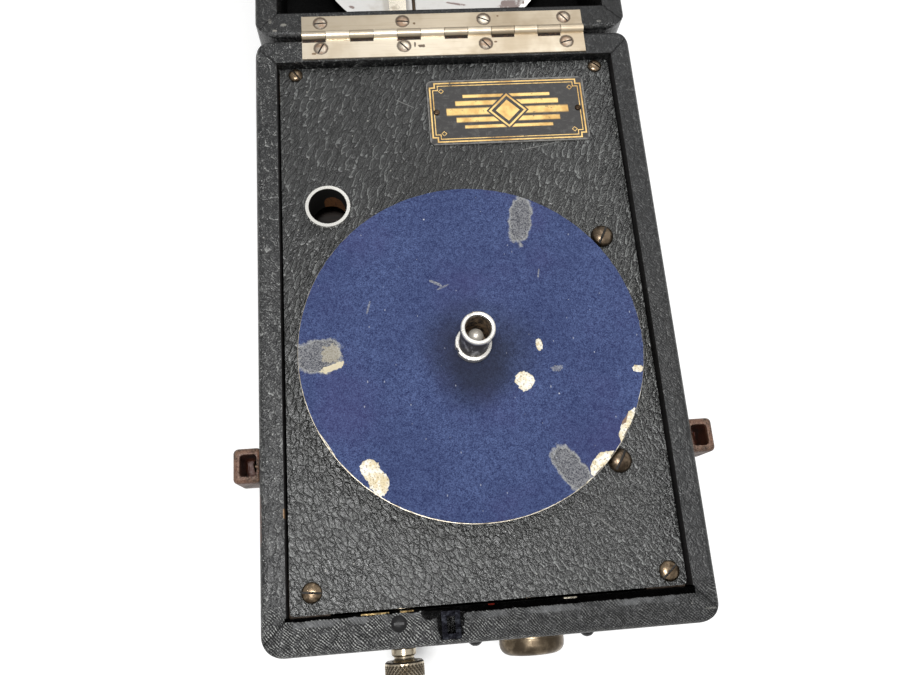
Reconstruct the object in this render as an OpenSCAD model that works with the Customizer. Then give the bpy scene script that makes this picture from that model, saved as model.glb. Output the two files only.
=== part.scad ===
// Small portable wind-up record player, lid laid open behind the case.
// Millimetres. X to the right, Y to the hinge and the lid, Z up.
// Most pieces are drawn from the hinge axis, which is carried to its place by hinge_frame().

/* [Case] */
// Outer width of the case and the lid
case_w = 202.2; // [198:0.2:212]
// Depth from the hinge axis to the front face
case_d = 309; // [305:1:322]
// Height from the hinge axis down to the underside
case_h = 85; // [83:0.5:96]
// Thickness of the side walls of the case
side_wall = 11.2; // [9:0.1:12]
// Thickness of the front wall of the case
front_wall = 15.5; // [13:0.5:17]
// Thickness of the rear wall of the case
rear_wall = 14; // [12:0.5:15]
// Thickness of the bottom panel
bottom_t = 6; // [4:0.5:7]
// Radius of the upright corners
corner_r = 11; // [6:0.5:14]
// Radius of the long edges
edge_r = 3; // [1:0.5:4]
// Height of each foot
foot_h = 4; // [3:0.5:8]
// Radius of each foot
foot_r = 8; // [6:0.5:10]
// Distance of each foot's centre from the outer faces
foot_inset = 20; // [16:1:30]

/* [Lid] */
// Height of the lid from the hinge axis to its outer face
lid_h = 50; // [46:0.5:60]
// Thickness of the lid panel
lid_panel_t = 6; // [4:0.5:7]
// Thickness of the side walls of the lid
lid_side_wall = 12; // [10:0.5:13]
// Thickness of the lid wall at the hinge
lid_near_wall = 14; // [12:0.5:15]
// Thickness of the lid wall away from the hinge
lid_far_wall = 15; // [13:0.5:16]

/* [Hinge] */
// Length of one knuckle with its gap
knuckle_l = 12.7; // [12:0.1:13.5]
// Number of knuckles
knuckles = 12; // [8:2:12]
// Outer radius of the knuckles
knuckle_r = 2.45; // [2.2:0.05:2.8]
// Radius of the hinge pin
hinge_pin_r = 1.1; // [0.8:0.05:1.3]
// Thickness of the hinge leaves
leaf_t = 0.75; // [0.6:0.05:0.9]
// Width of the leaf on the case, from the hinge axis
case_leaf_w = 14.2; // [12:0.1:15]
// Width of the leaf on the lid, from the hinge axis
lid_leaf_w = 12.2; // [11:0.1:14]
// Spacing of the hinge screws along the hinge
hinge_screw_step = 44.2; // [40:0.2:46]
// Distance of the hinge screws from the hinge axis
hinge_screw_y = 7.8; // [7:0.1:8.6]
// Radius of the hinge screw heads
hinge_screw_head_r = 3.4; // [2.8:0.1:3.6]
// Radius of the hinge screws' shanks
hinge_screw_r = 1.5; // [1.3:0.1:1.7]
// Length of the hinge screws
hinge_screw_l = 11; // [9:0.5:14]
// Depth of the wooden rims below the hinge axis
rim_drop = 0.8; // [0.8:0.05:1.2]
// Distance of the hinged wall faces from the hinge axis
wall_gap = 1.4; // [1.2:0.1:2]

/* [Motor board] */
// Gap round the motor board
board_gap = 1; // [0.5:0.1:2]
// Thickness of the motor board
board_t = 6; // [5:0.5:7]
// Depth of the motor board's face below the rims
board_drop = 4.7; // [4:0.1:6]
// Width of the nameplate
nameplate_w = 85; // [70:1:90]
// Depth of the nameplate
nameplate_d = 38.5; // [30:0.5:42]
// Thickness of the nameplate
nameplate_t = 0.8; // [0.5:0.1:1.2]
// Sideways place of the nameplate's centre
nameplate_x = 30.8; // [25:0.2:34]
// Distance of the nameplate's centre from the hinge axis
nameplate_back = 46.2; // [44:0.2:48]
// Size of the corner blocks under the board
block_size = 18; // [15:0.5:20]
// Height of the corner blocks under the board
block_h = 18; // [12:0.5:20]

/* [Turntable] */
// Distance of the spindle from the front face
spindle_front = 131; // [127:0.5:133]
// Outer radius of the turntable
turntable_r = 81.7; // [78:0.1:83]
// Height of the felt's face above the hinge axis
felt_top = 6; // [5:0.5:9]
// Thickness of the felt
felt_t = 1; // [0.6:0.1:1.6]
// Thickness of the turntable plate
turntable_t = 1.2; // [1:0.1:2]
// Thickness of the turntable's down-turned rim
turntable_rim_t = 1.2; // [0.8:0.1:2]
// Height of the turntable's down-turned rim
turntable_rim_h = 4; // [3:0.1:5]
// Radius of the turntable's hub
hub_r = 13; // [10:0.5:16]
// Length of the turntable's hub below the plate
hub_l = 5; // [3:0.5:6]
// Radius of the spindle
spindle_r = 3.55; // [3:0.05:3.8]
// Height of the spindle's tip above the felt
spindle_tip_h = 19; // [14:0.5:22]

/* [Record clamp] */
// Radius of the clamp's sleeve
clamp_r = 7.8; // [7:0.1:8.2]
// Radius of the open bore at the top of the sleeve
clamp_bore_r = 5.6; // [5:0.1:6]
// Radius of the clamp's collar
clamp_collar_r = 8.65; // [8.4:0.05:9.5]
// Height of the clamp's collar
clamp_collar_h = 5.5; // [4:0.5:7]
// Height of the whole clamp
clamp_h = 29; // [25:0.5:32]
// Width of the slot across the collar
clamp_slot_w = 2; // [1:0.1:3]

/* [Tone arm socket] */
// Sideways place of the socket, left of the middle
socket_left = 66; // [62:0.5:67]
// Distance of the socket behind the spindle
socket_behind = 80; // [78:0.5:82]
// Inner radius of the socket
socket_bore_r = 9.65; // [9:0.05:9.9]
// Wall of the socket's tube
socket_tube_t = 0.8; // [0.6:0.1:1]
// Width of the socket's flange round its bore
socket_flange_w = 1.6; // [1.5:0.1:2.4]
// Height of the socket's flange above the board
socket_flange_h = 1.8; // [1:0.1:3]
// Length of the tube below the board
socket_tube_l = 12.5; // [8:0.5:14]

/* [Spring motor] */
// Thickness of the motor plates
motor_plate_t = 2; // [1.5:0.1:2.5]
// Distance between the motor plates
pillar_l = 53.5; // [53:0.5:55]
// Radius of the motor pillars
pillar_r = 3; // [2.5:0.1:4]
// Module of the teeth on the barrel, the first pinion and the winding wheels
coarse_module = 1; // [0.99:0.01:1.01]
// Module of the teeth that drive the spindle
fine_module = 0.8; // [0.79:0.01:0.81]
// Distance of the barrel's axis in front of the spindle
barrel_front = 57; // [56:0.5:58]
// Outer radius of the spring barrel
barrel_r = 30; // [28:0.5:30.5]
// Wall of the spring barrel
barrel_wall = 1.2; // [1:0.1:2]
// Height of the spring barrel above its toothed base
barrel_h = 22; // [20:0.5:22]
// Radius of the barrel's arbor
arbor_r = 4; // [3.5:0.1:4.5]
// Thickness of the mainspring
mainspring_t = 0.7; // [0.5:0.1:1]
// Turns of the mainspring
mainspring_turns = 7; // [5:1:8]
// Thickness of the toothed wheels
wheel_t = 2.5; // [2:0.1:2.6]
// Face width of the wheel that drives the governor
governor_wheel_t = 3.5; // [3:0.1:3.6]
// Distance of the governor's axis from the spindle
governor_left = 22.5; // [22.4:0.1:22.8]
// Radius of the governor's shaft
governor_shaft_r = 2; // [1.6:0.1:2.2]
// Radius at which the governor's weights swing
weight_orbit_r = 8.6; // [8:0.1:8.8]
// Radius of each governor weight
weight_r = 3.2; // [2.6:0.1:3.3]
// Radius of the governor's brake disc
governor_disc_r = 12.5; // [11.5:0.1:12.6]

/* [Winding] */
// Sideways place of the winding shaft, right of the middle
winding_right = 19.5; // [18:0.5:20]
// Depth of the winding shaft and the speed screw below the hinge axis
shaft_drop = 30; // [29.5:0.1:30.5]
// Radius of the winding shaft
winding_shaft_r = 4; // [3.6:0.1:4.2]
// Radius of the crank socket in the shaft
crank_bore_r = 2.6; // [2:0.1:2.8]
// Depth of the crank socket in the shaft
crank_bore_l = 14; // [10:0.5:18]
// Radius of the escutcheon's drum
drum_r = 16; // [14:0.5:16.5]
// Height of the escutcheon's drum above its plate
drum_h = 8.7; // [7:0.1:9.5]
// Rounding of the drum's edge
drum_round = 4.5; // [3:0.5:6]
// Radius of the open bore in the drum
drum_bore_r = 6.5; // [5.5:0.1:7.5]
// Thickness of the escutcheon's plate
escutcheon_t = 1.8; // [1:0.1:2.5]
// Distance of the escutcheon's screws from its centre
escutcheon_screw_x = 26.5; // [24:0.5:28]

/* [Speed screw] */
// Sideways place of the speed screw, left of the middle
speed_left = 40.5; // [39:0.5:42]
// Radius of the knurled head
knob_r = 10; // [8:0.5:11]
// Length of the knurled head
knob_l = 7.5; // [6:0.5:9]
// Radius of the neck behind the head
knob_neck_r = 5.15; // [4:0.05:6]
// Length of the neck behind the head
knob_neck_l = 3.6; // [3:0.1:5]
// Radius of the bush that carries the screw
bush_r = 4.65; // [4:0.05:5.5]
// Length of the bush in front of the case
bush_proud = 2; // [1.5:0.1:3]
// Gap between the bush and the neck, which the screw closes as it is turned in
knob_gap = 1.9; // [1.9:0.1:2.6]
// Radius of the speed screw's thread
screw_r = 2.5; // [2:0.1:3]
// Travel of the speed screw in one turn
screw_pitch = 0.8; // [0.5:0.1:1]

/* [Latch] */
// Sideways place of the latch, left of the middle
latch_left = 19.2; // [16:0.2:22]
// Distance of the latch from the front face
latch_in = 8.2; // [7.4:0.2:8.6]
// Width of the catch plate
catch_w = 8.2; // [7:0.2:9]
// Depth of the catch plate
catch_d = 11.6; // [10:0.2:12]
// Thickness of the catch plate
catch_t = 1.2; // [0.8:0.1:1.5]
// Height of the lid's hook above the lid's rim
hook_h = 6.4; // [5:0.2:8]

/* [Strap loops] */
// Distance of the strap loops from the front face
loop_front = 84; // [74:1:94]
// Length of each strap loop along the case
loop_l = 16.3; // [14:0.1:20]
// Reach of each strap loop from the case
loop_reach = 13; // [12:0.1:15]
// Thickness of the leather
leather_t = 3.2; // [2.5:0.1:3.5]
// Height of each strap loop
loop_h = 24; // [16:0.5:30]
// Depth of the loops' upper edge below the hinge axis
loop_drop = 8; // [6:0.5:12]

/* [Sound chamber] */
// Wall left at each end of the sound mouth
mouth_margin = 9; // [7:0.5:16]
// Height of the sound mouth
mouth_h = 38; // [30:1:40]
// Depth of the sound mouth's centre below the hinge axis
mouth_drop = 44.5; // [43:0.5:47]
// Thickness of the partition and the sloping baffle
partition_t = 3; // [2:0.2:3.6]
// Thickness of the grille
grille_t = 1.5; // [1:0.1:2]
// Width of each slot in the grille
grille_slot = 5; // [4:0.2:6]

/* [Lid reflector] */
// Radius of the reflector bowl
bowl_r = 72; // [60:1:72]
// Depth of the reflector bowl
bowl_depth = 14; // [10:0.5:15]
// Thickness of the reflector bowl
bowl_t = 1; // [0.8:0.1:1.5]
// Gap between the bowl and the lid wall at the hinge
bowl_gap = 0.6; // [0.6:0.2:22]
// Width of the strap across the bowl
bowl_strap_w = 10; // [8:0.5:12]
// Sideways place of the strap, left of the middle
bowl_strap_left = 23; // [20:0.5:30]
// Radius of the wire clip beside the strap
wire_r = 1; // [0.8:0.1:1.3]

/* [Hidden] */
$fn = 72;
hull_fn = 32;
run = 0.05;
air = 0.3;
seam = 0.03;
eps = 0.01;

// Places of the whole, from the driving sizes.
spindle_back = case_d - spindle_front;
knob_proud = bush_proud + knob_gap + knob_neck_l + knob_l;
hinge_y = knob_proud / 2;
rim_z = case_h + foot_h;
half_w = case_w / 2;
hinge_l = knuckle_l * knuckles;
inner_front = case_d - front_wall;
inner_back = wall_gap + rear_wall;
inner_half_w = half_w - side_wall;
board_top = -rim_drop - board_drop;
board_under = board_top - board_t;
floor_z = -case_h + bottom_t;
rim_wood = -rim_drop;
lid_floor = -lid_h + lid_panel_t;
latch_back = case_d - latch_in;
loop_back = case_d - loop_front;
loop_z = -loop_drop - loop_h / 2;
loop_rivet_dz = loop_h / 2 - 5;
felt_z = felt_top - felt_t;
table_z = felt_z - turntable_t;

// Sound chamber, from the rear wall forward to the partition.
socket_back = spindle_back - socket_behind;
socket_tube_r = socket_bore_r + socket_tube_t;
partition_back = socket_back + socket_tube_r + 1;
chamber_l = partition_back - inner_back;
mouth_l = chamber_l - 2 * mouth_margin;
mouth_back = inner_back + chamber_l / 2;
mouth_z = -mouth_drop;
grille_lip = 3;
grille_slots = floor((mouth_l - 2) / (2 * grille_slot));
baffle_high = board_under - socket_tube_l - 9;
baffle_low = mouth_z - mouth_h / 2 - 2;

// Lid reflector.
bowl_back = wall_gap + lid_near_wall + bowl_gap + bowl_r;
bowl_ball_r = (bowl_r ^ 2 + bowl_depth ^ 2) / (2 * bowl_depth);
bowl_rim = lid_floor + bowl_depth + bowl_t;
strap_half = sqrt(bowl_r ^ 2 - (bowl_strap_left + bowl_strap_w / 2) ^ 2);
strap_rivet_y = strap_half - 3.5;
bowl_rivet_r = 4;
rivet_sag = bowl_rivet_r ^ 2 / (2 * (bowl_ball_r - bowl_t)) + eps;

// Levels of the spring motor, from the underside of the board down.
top_plate_under = board_under - motor_plate_t;
low_plate_top = top_plate_under - pillar_l;
barrel_teeth_z = low_plate_top + 2.5;
barrel_z = barrel_teeth_z + wheel_t;
barrel_cover_z = barrel_z + barrel_h;
wheel_z = barrel_cover_z + 2;
governor_wheel_z = wheel_z + wheel_t + 1.5;
governor_z = governor_wheel_z + governor_wheel_t / 2;

// Wheel train, seen from above with the spindle at the origin.
spindle_leaves = 12;
wheel_teeth = 60;
pinion_leaves = 12;
barrel_teeth = 64;
crown_teeth = 36;
governor_teeth = 36;
spindle_mesh = fine_module * (spindle_leaves + wheel_teeth) / 2;
barrel_mesh = coarse_module * (pinion_leaves + barrel_teeth) / 2;
barrel_at = [winding_right, -barrel_front];
barrel_dist = norm(barrel_at);
mesh_along = (spindle_mesh ^ 2 - barrel_mesh ^ 2 + barrel_dist ^ 2) / (2 * barrel_dist);
mesh_across = sqrt(spindle_mesh ^ 2 - mesh_along ^ 2);
wheel_at = mesh_along * barrel_at / barrel_dist
  + mesh_across * [barrel_front, winding_right] / barrel_dist;
to_wheel = atan2(wheel_at[1], wheel_at[0]);
to_barrel = atan2(barrel_at[1] - wheel_at[1], barrel_at[0] - wheel_at[0]);
crown_r = coarse_module * crown_teeth / 2;
winding_pinion_r = coarse_module * pinion_leaves / 2;
crown_pitch_z = winding_pinion_r - shaft_drop;
crown_face_z = crown_pitch_z + 1.2 * coarse_module;
crown_t = 2.8;
worm_r = governor_left - coarse_module * governor_teeth / 2;
worm_lead = 2 * PI * coarse_module;
worm_angle = atan(worm_lead / (2 * PI * worm_r));
worm_root = worm_r - 1.1 * coarse_module;
worm_tip = worm_r + 0.8 * coarse_module;

// Cross section of the two-start worm, as radius and angle from the middle of each thread.
worm_thread = [
  [worm_root, -40], [worm_r, -30], [worm_tip, -17], [worm_tip, 0], [worm_tip, 17],
  [worm_r, 30], [worm_root, 40], [worm_root, 65], [worm_root, 90], [worm_root, 115]
];
worm_outline = [for (half = [0, 180], p = worm_thread)
  p[0] * [cos(half + p[1]), sin(half + p[1])]];

// Governor, along its shaft from the worm at 0 forward.
weights_y = -36;
weight_l = 11;
collar_y = -22;
disc_y = -52;
disc_t = 1.5;
governor_front = -60;
governor_rear = 13;
governor_pivot_r = 1.25;

// Motor frame.
frame_left = -44;
frame_right = 64;
frame_front = -99;
frame_rear = 24;
pillars = [[-37, 17], [57, 17], [-20, -92], [57, -92]];
lug_r = 7.5;
lugs = [[72, 56.7], [65.5, -57]];
hidden_lug = [-38, -37];
winding_bracket_y = -86;
bracket_t = 3;

// Speed lever.
lever_at = [-62, -84];
lever_touch = [-speed_left, -100];
lever_bend = [-46, -47];
pad_at = [-32.5, -47];
lever_t = 2.5;
lever_touch_r = 3.5;
pad_l = 2.6;
rod_end_y = -spindle_back + lever_touch[1] - lever_touch_r - air;
rod_front_y = rod_end_y - 14;
bush_inner_y = rod_end_y - 3;

motor_screw_head_r = 5.8;
motor_screw_head_h = 4.4;
escutcheon_ear_r = 5.5;
pilot_r = 1.6;
lock_screw_r = 1.55;
lock_screw_at = [-speed_left - 1.2, -latch_back + 2.2];
board_bore_r = spindle_r + 4.5;
pin_spacing = nameplate_w - 9;
pin_r = 0.7;

// Board screws: left and right at the hinge, then left and right at the front.
board_holes = [
  [-inner_half_w + 9.4, -inner_back - 5.1], [inner_half_w - 8.7, -inner_back - 5.1],
  [-inner_half_w + 10.7, -inner_front + 10.4], [inner_half_w - 8.4, -inner_front + 7.4]
];
board_head_r = [3.75, 3.75, 4.9, 4.9];
board_screw_turns = [-45, 0, 0, 45];

// Moves its children to the hinge axis.
module hinge_frame() translate([0, hinge_y, rim_z]) children();

// Moves its children to the spindle's axis, at the height of the hinge axis.
module spindle_frame() hinge_frame() translate([0, -spindle_back, 0]) children();

// Turns a shape that stands along Z to lie along Y.
module along_y() rotate([-90, 0, 0]) children();

module along_x() rotate([0, 90, 0]) children();

module ring(outer, inner, h) {
  difference() {
    cylinder(r = outer, h = h);
    translate([0, 0, -1]) cylinder(r = inner, h = h + 2);
  }
}

module rounded_rect(w, d, r) {
  square([w - 2 * r, d], center = true);
  square([w, d - 2 * r], center = true);
  for (x = [-1, 1], y = [-1, 1]) translate([x * (w / 2 - r), y * (d / 2 - r)]) circle(r = r);
}

// A block with round upright corners and round long edges, standing on z = 0.
module soft_block(w, d, h) {
  intersection() {
    linear_extrude(h) rounded_rect(w, d, corner_r);
    translate([0, 0, h / 2]) rotate([90, 0, 0])
      linear_extrude(d + 2, center = true) rounded_rect(w, h, edge_r);
    translate([0, 0, h / 2]) rotate([90, 0, 90])
      linear_extrude(w + 2, center = true) rounded_rect(d, h, edge_r);
  }
}

// Box between two corners.
module span(low, high) translate(low) cube(high - low);

module case_block() {
  translate([0, -(case_d + wall_gap) / 2, -case_h])
    soft_block(case_w, case_d - wall_gap, case_h - rim_drop);
}

module lid_block() {
  translate([0, (case_d + wall_gap) / 2, -lid_h])
    soft_block(case_w, case_d - wall_gap, lid_h - rim_drop);
}

// Flush countersunk wood screw with its face at z = 0, grown by extra for its hole.
module flush_screw(head_r, shank_r, length, extra = 0) {
  translate([0, 0, -head_r / 2 - extra]) cylinder(r1 = shank_r + extra, r2 = head_r + extra,
                                        h = head_r / 2 + extra);
  translate([0, 0, -length - extra]) cylinder(r = shank_r + extra, h = length);
}

// Dome of radius r and height h, standing on z = 0.
module dome(r, h) {
  ball_r = (r ^ 2 + h ^ 2) / (2 * h);
  intersection() {
    translate([0, 0, h - ball_r]) sphere(r = ball_r, $fn = 180);
    cylinder(r = r + 1, h = h + 1);
  }
}

// Round-headed slotted screw standing on z = 0.
module dome_screw(head_r, head_h, shank_r, length, turn = 0) {
  difference() {
    dome(head_r, head_h);
    rotate(turn) translate([-head_r - 1, -0.55, head_h * 0.62]) cube([2 * head_r + 2, 1.1, head_h]);
  }
  translate([0, 0, -length]) cylinder(r = shank_r, h = length + 0.5);
}

// Toothed outline. wide and narrow are the tooth's thickness at the pitch circle and the tip,
// as shares of the pitch. A tooth points along +X.
function tooth(r, m, wide, narrow) = [
  [r - 1.25 * m, -wide / 2], [r, -wide / 2], [r + 0.75 * m, -narrow / 2],
  [r + 0.75 * m, narrow / 2], [r, wide / 2], [r - 1.25 * m, wide / 2]
];
function toothed(teeth, m, wide = 0.34, narrow = 0.16) = [
  for (i = [0 : teeth - 1], p = tooth(teeth * m / 2, m, wide, narrow))
    p[0] * [cos((i + p[1]) * 360 / teeth), sin((i + p[1]) * 360 / teeth)]
];
module gear(teeth, m, h, bore, hub = 0, hub_h = 0) {
  difference() {
    union() {
      linear_extrude(h) polygon(toothed(teeth, m));
      if (hub > 0) cylinder(r = hub, h = h + hub_h);
    }
    translate([0, 0, -1]) cylinder(r = bore, h = h + hub_h + 2);
  }
}

module hinge_screw_holes(side) {
  for (i = [-1.5 : 1.5]) translate([i * hinge_screw_step, side * hinge_screw_y, rim_wood + leaf_t])
    flush_screw(hinge_screw_head_r, hinge_screw_r, hinge_screw_l, run);
}

module hinge_groove() {
  translate([-hinge_l / 2 - 1, 0, 0]) along_x() cylinder(r = knuckle_r + 0.35, h = hinge_l + 2);
}

// Case

module front_hole(x, r) {
  translate([x, -case_d - 1, -shaft_drop]) along_y() cylinder(r = r, h = front_wall + 2);
}

module latch_pocket(side) {
  translate([-latch_left - catch_w / 2, side * latch_back - catch_d / 2, rim_wood - catch_t])
    cube([catch_w, catch_d, catch_t + 1]);
}

// Moves its children to the low corner of the grille's rebate.
module grille_place() translate([half_w, -mouth_back - mouth_l / 2, mouth_z - mouth_h / 2])
  translate(-grille_lip * [1, 1, 1]) children();

// The four boards of the case, butted at the corners with the side boards between the others.
module case_boards() intersection() {
  case_block();
  union() {
    span([-half_w - 1, -case_d - 1, floor_z], [half_w + 1, -inner_front, 1]);
    span([-half_w - 1, -inner_back, floor_z], [half_w + 1, 1, 1]);
    for (low = [-half_w - 1, inner_half_w])
      span([low, -inner_front + seam, floor_z], [low + side_wall + 1, -inner_back - seam, 1]);
  }
}

module case_walls() color("dimgray") hinge_frame() difference() {
  case_boards();
  hinge_groove();
  hinge_screw_holes(-1);
  latch_pocket(-1);
  translate([-latch_left - 2.1, -latch_back - 3.75, rim_wood - hook_h - catch_t - 2])
    cube([4.2, 7.5, hook_h + catch_t + 2]);
  front_hole(winding_right, winding_shaft_r + 3);
  front_hole(-speed_left, bush_r);
  for (x = [-1, 1]) translate([winding_right + x * escutcheon_screw_x, -case_d - 1, -shaft_drop])
    along_y() cylinder(r = pilot_r, h = 12);
  translate([lock_screw_at[0], lock_screw_at[1], -shaft_drop]) cylinder(r = lock_screw_r, h = shaft_drop);
  translate([inner_half_w - 1, -mouth_back - mouth_l / 2, mouth_z - mouth_h / 2])
    cube([side_wall + 2, mouth_l, mouth_h]);
  grille_place() cube([grille_lip + 1, mouth_l + 2 * grille_lip, mouth_h + 2 * grille_lip]);
  for (x = [-1, 1], z = [-1, 1]) translate([x * half_w, -loop_back, loop_z + z * loop_rivet_dz])
    along_x() cylinder(r = 1.5, h = 16, center = true);
}

module case_bottom() color("dimgray") hinge_frame() intersection() {
  case_block();
  span([-half_w - 1, -case_d - 1, -case_h - 1], [half_w + 1, 1, floor_z]);
}

module feet() color("black") for (x = [-1, 1], y = [foot_inset, case_d - foot_inset])
  translate([x * (half_w - foot_inset), hinge_y - y, 0]) {
    cylinder(r1 = foot_r - 1, r2 = foot_r, h = 1);
    translate([0, 0, 1]) cylinder(r = foot_r, h = foot_h - 1);
  }

module board_hole_places() for (i = [0 : 3]) translate([board_holes[i][0], board_holes[i][1], 0])
  children();

module corner_blocks() color("burlywood") hinge_frame() difference() {
  for (x = [-1, 1], y = [inner_back + block_size / 2, inner_front - block_size / 2])
    translate([x * (inner_half_w - block_size / 2), -y, board_under - block_h / 2])
      cube([block_size, block_size, block_h], center = true);
  board_hole_places() translate([0, 0, board_under - 13]) cylinder(r = pilot_r, h = 14);
}

module motor_board() color("dimgray") hinge_frame() difference() {
  translate([0, -(inner_front + inner_back) / 2, board_under]) linear_extrude(board_t)
    rounded_rect(2 * (inner_half_w - board_gap), inner_front - inner_back - 2 * board_gap, 2);
  translate([0, -spindle_back, board_under - 1]) cylinder(r = board_bore_r, h = board_t + 2);
  translate([-socket_left, -socket_back, board_under - 1])
    cylinder(r = socket_tube_r, h = board_t + 2);
  board_hole_places() translate([0, 0, board_under - 1]) cylinder(r = pilot_r, h = board_t + 2);
  translate([0, -spindle_back, board_under - 1]) lug_places() cylinder(r = 2, h = board_t + 2);
  for (x = [-1, 1]) translate([nameplate_x + x * pin_spacing / 2, -nameplate_back, board_under])
    cylinder(r = pin_r, h = board_t + 1);
}

module board_screws() hinge_frame() for (i = [0 : 3])
  color(i == 1 ? "black" : "peru") translate([board_holes[i][0], board_holes[i][1], board_top])
    dome_screw(board_head_r[i], 2.2, pilot_r, board_t + 12, board_screw_turns[i]);

module nameplate() color("darkslategray") hinge_frame() difference() {
  translate([nameplate_x, -nameplate_back, board_top]) linear_extrude(nameplate_t)
    rounded_rect(nameplate_w, nameplate_d, 3);
  for (x = [-1, 1]) translate([nameplate_x + x * pin_spacing / 2, -nameplate_back, board_under])
    cylinder(r = pin_r, h = board_t + 2);
}

module nameplate_pins() color("black") hinge_frame() for (x = [-1, 1])
  translate([nameplate_x + x * pin_spacing / 2, -nameplate_back, board_top + nameplate_t]) {
    dome(1.3, 0.7);
    translate([0, 0, -board_t]) cylinder(r = pin_r, h = board_t + 0.2);
  }

// Hinge

// One leaf on the side given, with the knuckles whose number has the given remainder.
module hinge_leaf(side, leaf_w, remainder) {
  difference() {
    union() {
      span([-hinge_l / 2, side < 0 ? -leaf_w : hinge_pin_r + run + 0.2, rim_wood],
           [hinge_l / 2, side < 0 ? -hinge_pin_r - run - 0.2 : leaf_w, rim_wood + leaf_t]);
      for (i = [0 : knuckles - 1]) if (i % 2 == remainder) knuckle(i, knuckle_r, 0.15);
    }
    for (i = [0 : knuckles - 1]) if (i % 2 != remainder) knuckle(i, knuckle_r + air, -0.01);
    translate([-hinge_l, 0, 0]) along_x() cylinder(r = hinge_pin_r + run, h = 2 * hinge_l);
    hinge_screw_holes(side);
  }
}

module knuckle(i, r, shy) {
  translate([-hinge_l / 2 + i * knuckle_l + shy, 0, 0]) along_x()
    cylinder(r = r, h = knuckle_l - 2 * shy);
}

module hinge_case_leaf() color("tan") hinge_frame() hinge_leaf(-1, case_leaf_w, 1);

module hinge_pin() color("silver") hinge_frame() translate([-hinge_l / 2, 0, 0]) along_x()
  cylinder(r = hinge_pin_r, h = hinge_l);

module hinge_screws(side) {
  for (i = [-1.5 : 1.5]) translate([i * hinge_screw_step, side * hinge_screw_y, rim_wood + leaf_t])
    difference() {
      flush_screw(hinge_screw_head_r, hinge_screw_r, hinge_screw_l);
      rotate(37 * i) translate([0, 0, 0.2]) cube([8, 1, 1.6], center = true);
    }
}

module hinge_case_screws() color("silver") hinge_frame() hinge_screws(-1);

// Tone arm socket and sound chamber

module tone_arm_socket() color("silver") hinge_frame()
  translate([-socket_left, -socket_back, 0]) {
    translate([0, 0, board_top]) ring(socket_bore_r + socket_flange_w, socket_bore_r, socket_flange_h);
    translate([0, 0, board_under - socket_tube_l])
      ring(socket_tube_r, socket_bore_r, board_t + socket_tube_l + eps);
  }

module sound_partition() color("saddlebrown") hinge_frame()
  span([-inner_half_w, -partition_back - partition_t, floor_z],
       [inner_half_w, -partition_back, board_under]);

module sound_baffle() color("sienna") hinge_frame()
  translate([0, -inner_back, 0]) rotate([90, 0, 0])
    linear_extrude(chamber_l) polygon([
      [-inner_half_w, baffle_high], [-inner_half_w, baffle_high - partition_t],
      [inner_half_w, baffle_low - partition_t], [inner_half_w, baffle_low]
    ]);

module sound_grille() color("gray") hinge_frame() difference() {
  grille_place() cube([grille_t, mouth_l + 2 * grille_lip, mouth_h + 2 * grille_lip]);
  for (i = [0 : grille_slots - 1]) {
    slot_y = -mouth_back + (i - (grille_slots - 1) / 2) * 2 * grille_slot;
    translate([half_w - grille_lip - 1, slot_y, mouth_z]) rotate([90, 0, 90])
      linear_extrude(grille_t + 2) rounded_rect(grille_slot, mouth_h - 4, grille_slot / 2 - 0.1);
  }
}

// Front fittings

// Half section of the drum, with its outer edge rounded.
module drum_profile() {
  square([drum_r, drum_h - drum_round]);
  square([drum_r - drum_round, drum_h]);
  translate([drum_r - drum_round, drum_h - drum_round]) circle(r = drum_round);
}

module crank_escutcheon() color("silver") hinge_frame()
  translate([winding_right, -case_d, -shaft_drop]) rotate([90, 0, 0]) difference() {
    union() {
      linear_extrude(escutcheon_t) {
        circle(r = drum_r + 0.5);
        square([2 * escutcheon_screw_x, 2 * escutcheon_ear_r], center = true);
        for (x = [-1, 1]) translate([x * escutcheon_screw_x, 0]) circle(r = escutcheon_ear_r);
      }
      translate([0, 0, escutcheon_t - eps]) rotate_extrude() drum_profile();
      translate([0, 0, -front_wall - 4]) cylinder(r = winding_shaft_r + 3, h = front_wall + 5);
    }
    translate([0, 0, -front_wall - 5]) cylinder(r = winding_shaft_r + run, h = front_wall + 6);
    cylinder(r = drum_bore_r, h = 2 * drum_h);
    for (x = [-1, 1]) translate([x * escutcheon_screw_x, 0, -1]) cylinder(r = pilot_r, h = escutcheon_t + 2);
  }

module escutcheon_screws() color("peru") hinge_frame() for (x = [-1, 1])
  translate([winding_right + x * escutcheon_screw_x, -case_d - escutcheon_t, -shaft_drop])
    rotate([90, 0, 0]) dome_screw(3.4, 2.2, pilot_r, 12, 40 * x);

module speed_bush() color("gray") hinge_frame()
  translate([-speed_left, -case_d - bush_proud, -shaft_drop]) along_y() {
    ring(bush_r, screw_r + run, case_d + bush_proud + bush_inner_y);
    translate([0, 0, bush_proud + front_wall]) ring(8, bush_r - 0.5, 2);
  }

module bush_lock_screw() color("black") hinge_frame()
  translate([lock_screw_at[0], lock_screw_at[1], rim_wood])
    dome_screw(3.5, 1.2, lock_screw_r, shaft_drop - rim_drop - bush_r, 0);

module catch_plate() color("black") hinge_frame() difference() {
  translate([-latch_left - catch_w / 2, -latch_back - catch_d / 2, rim_wood - catch_t])
    cube([catch_w, catch_d, catch_t + 0.2]);
  translate([-latch_left - 1.8, -latch_back - 3.6, rim_wood - catch_t - 1]) cube([3.6, 7.2, catch_t + 2]);
}

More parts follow.
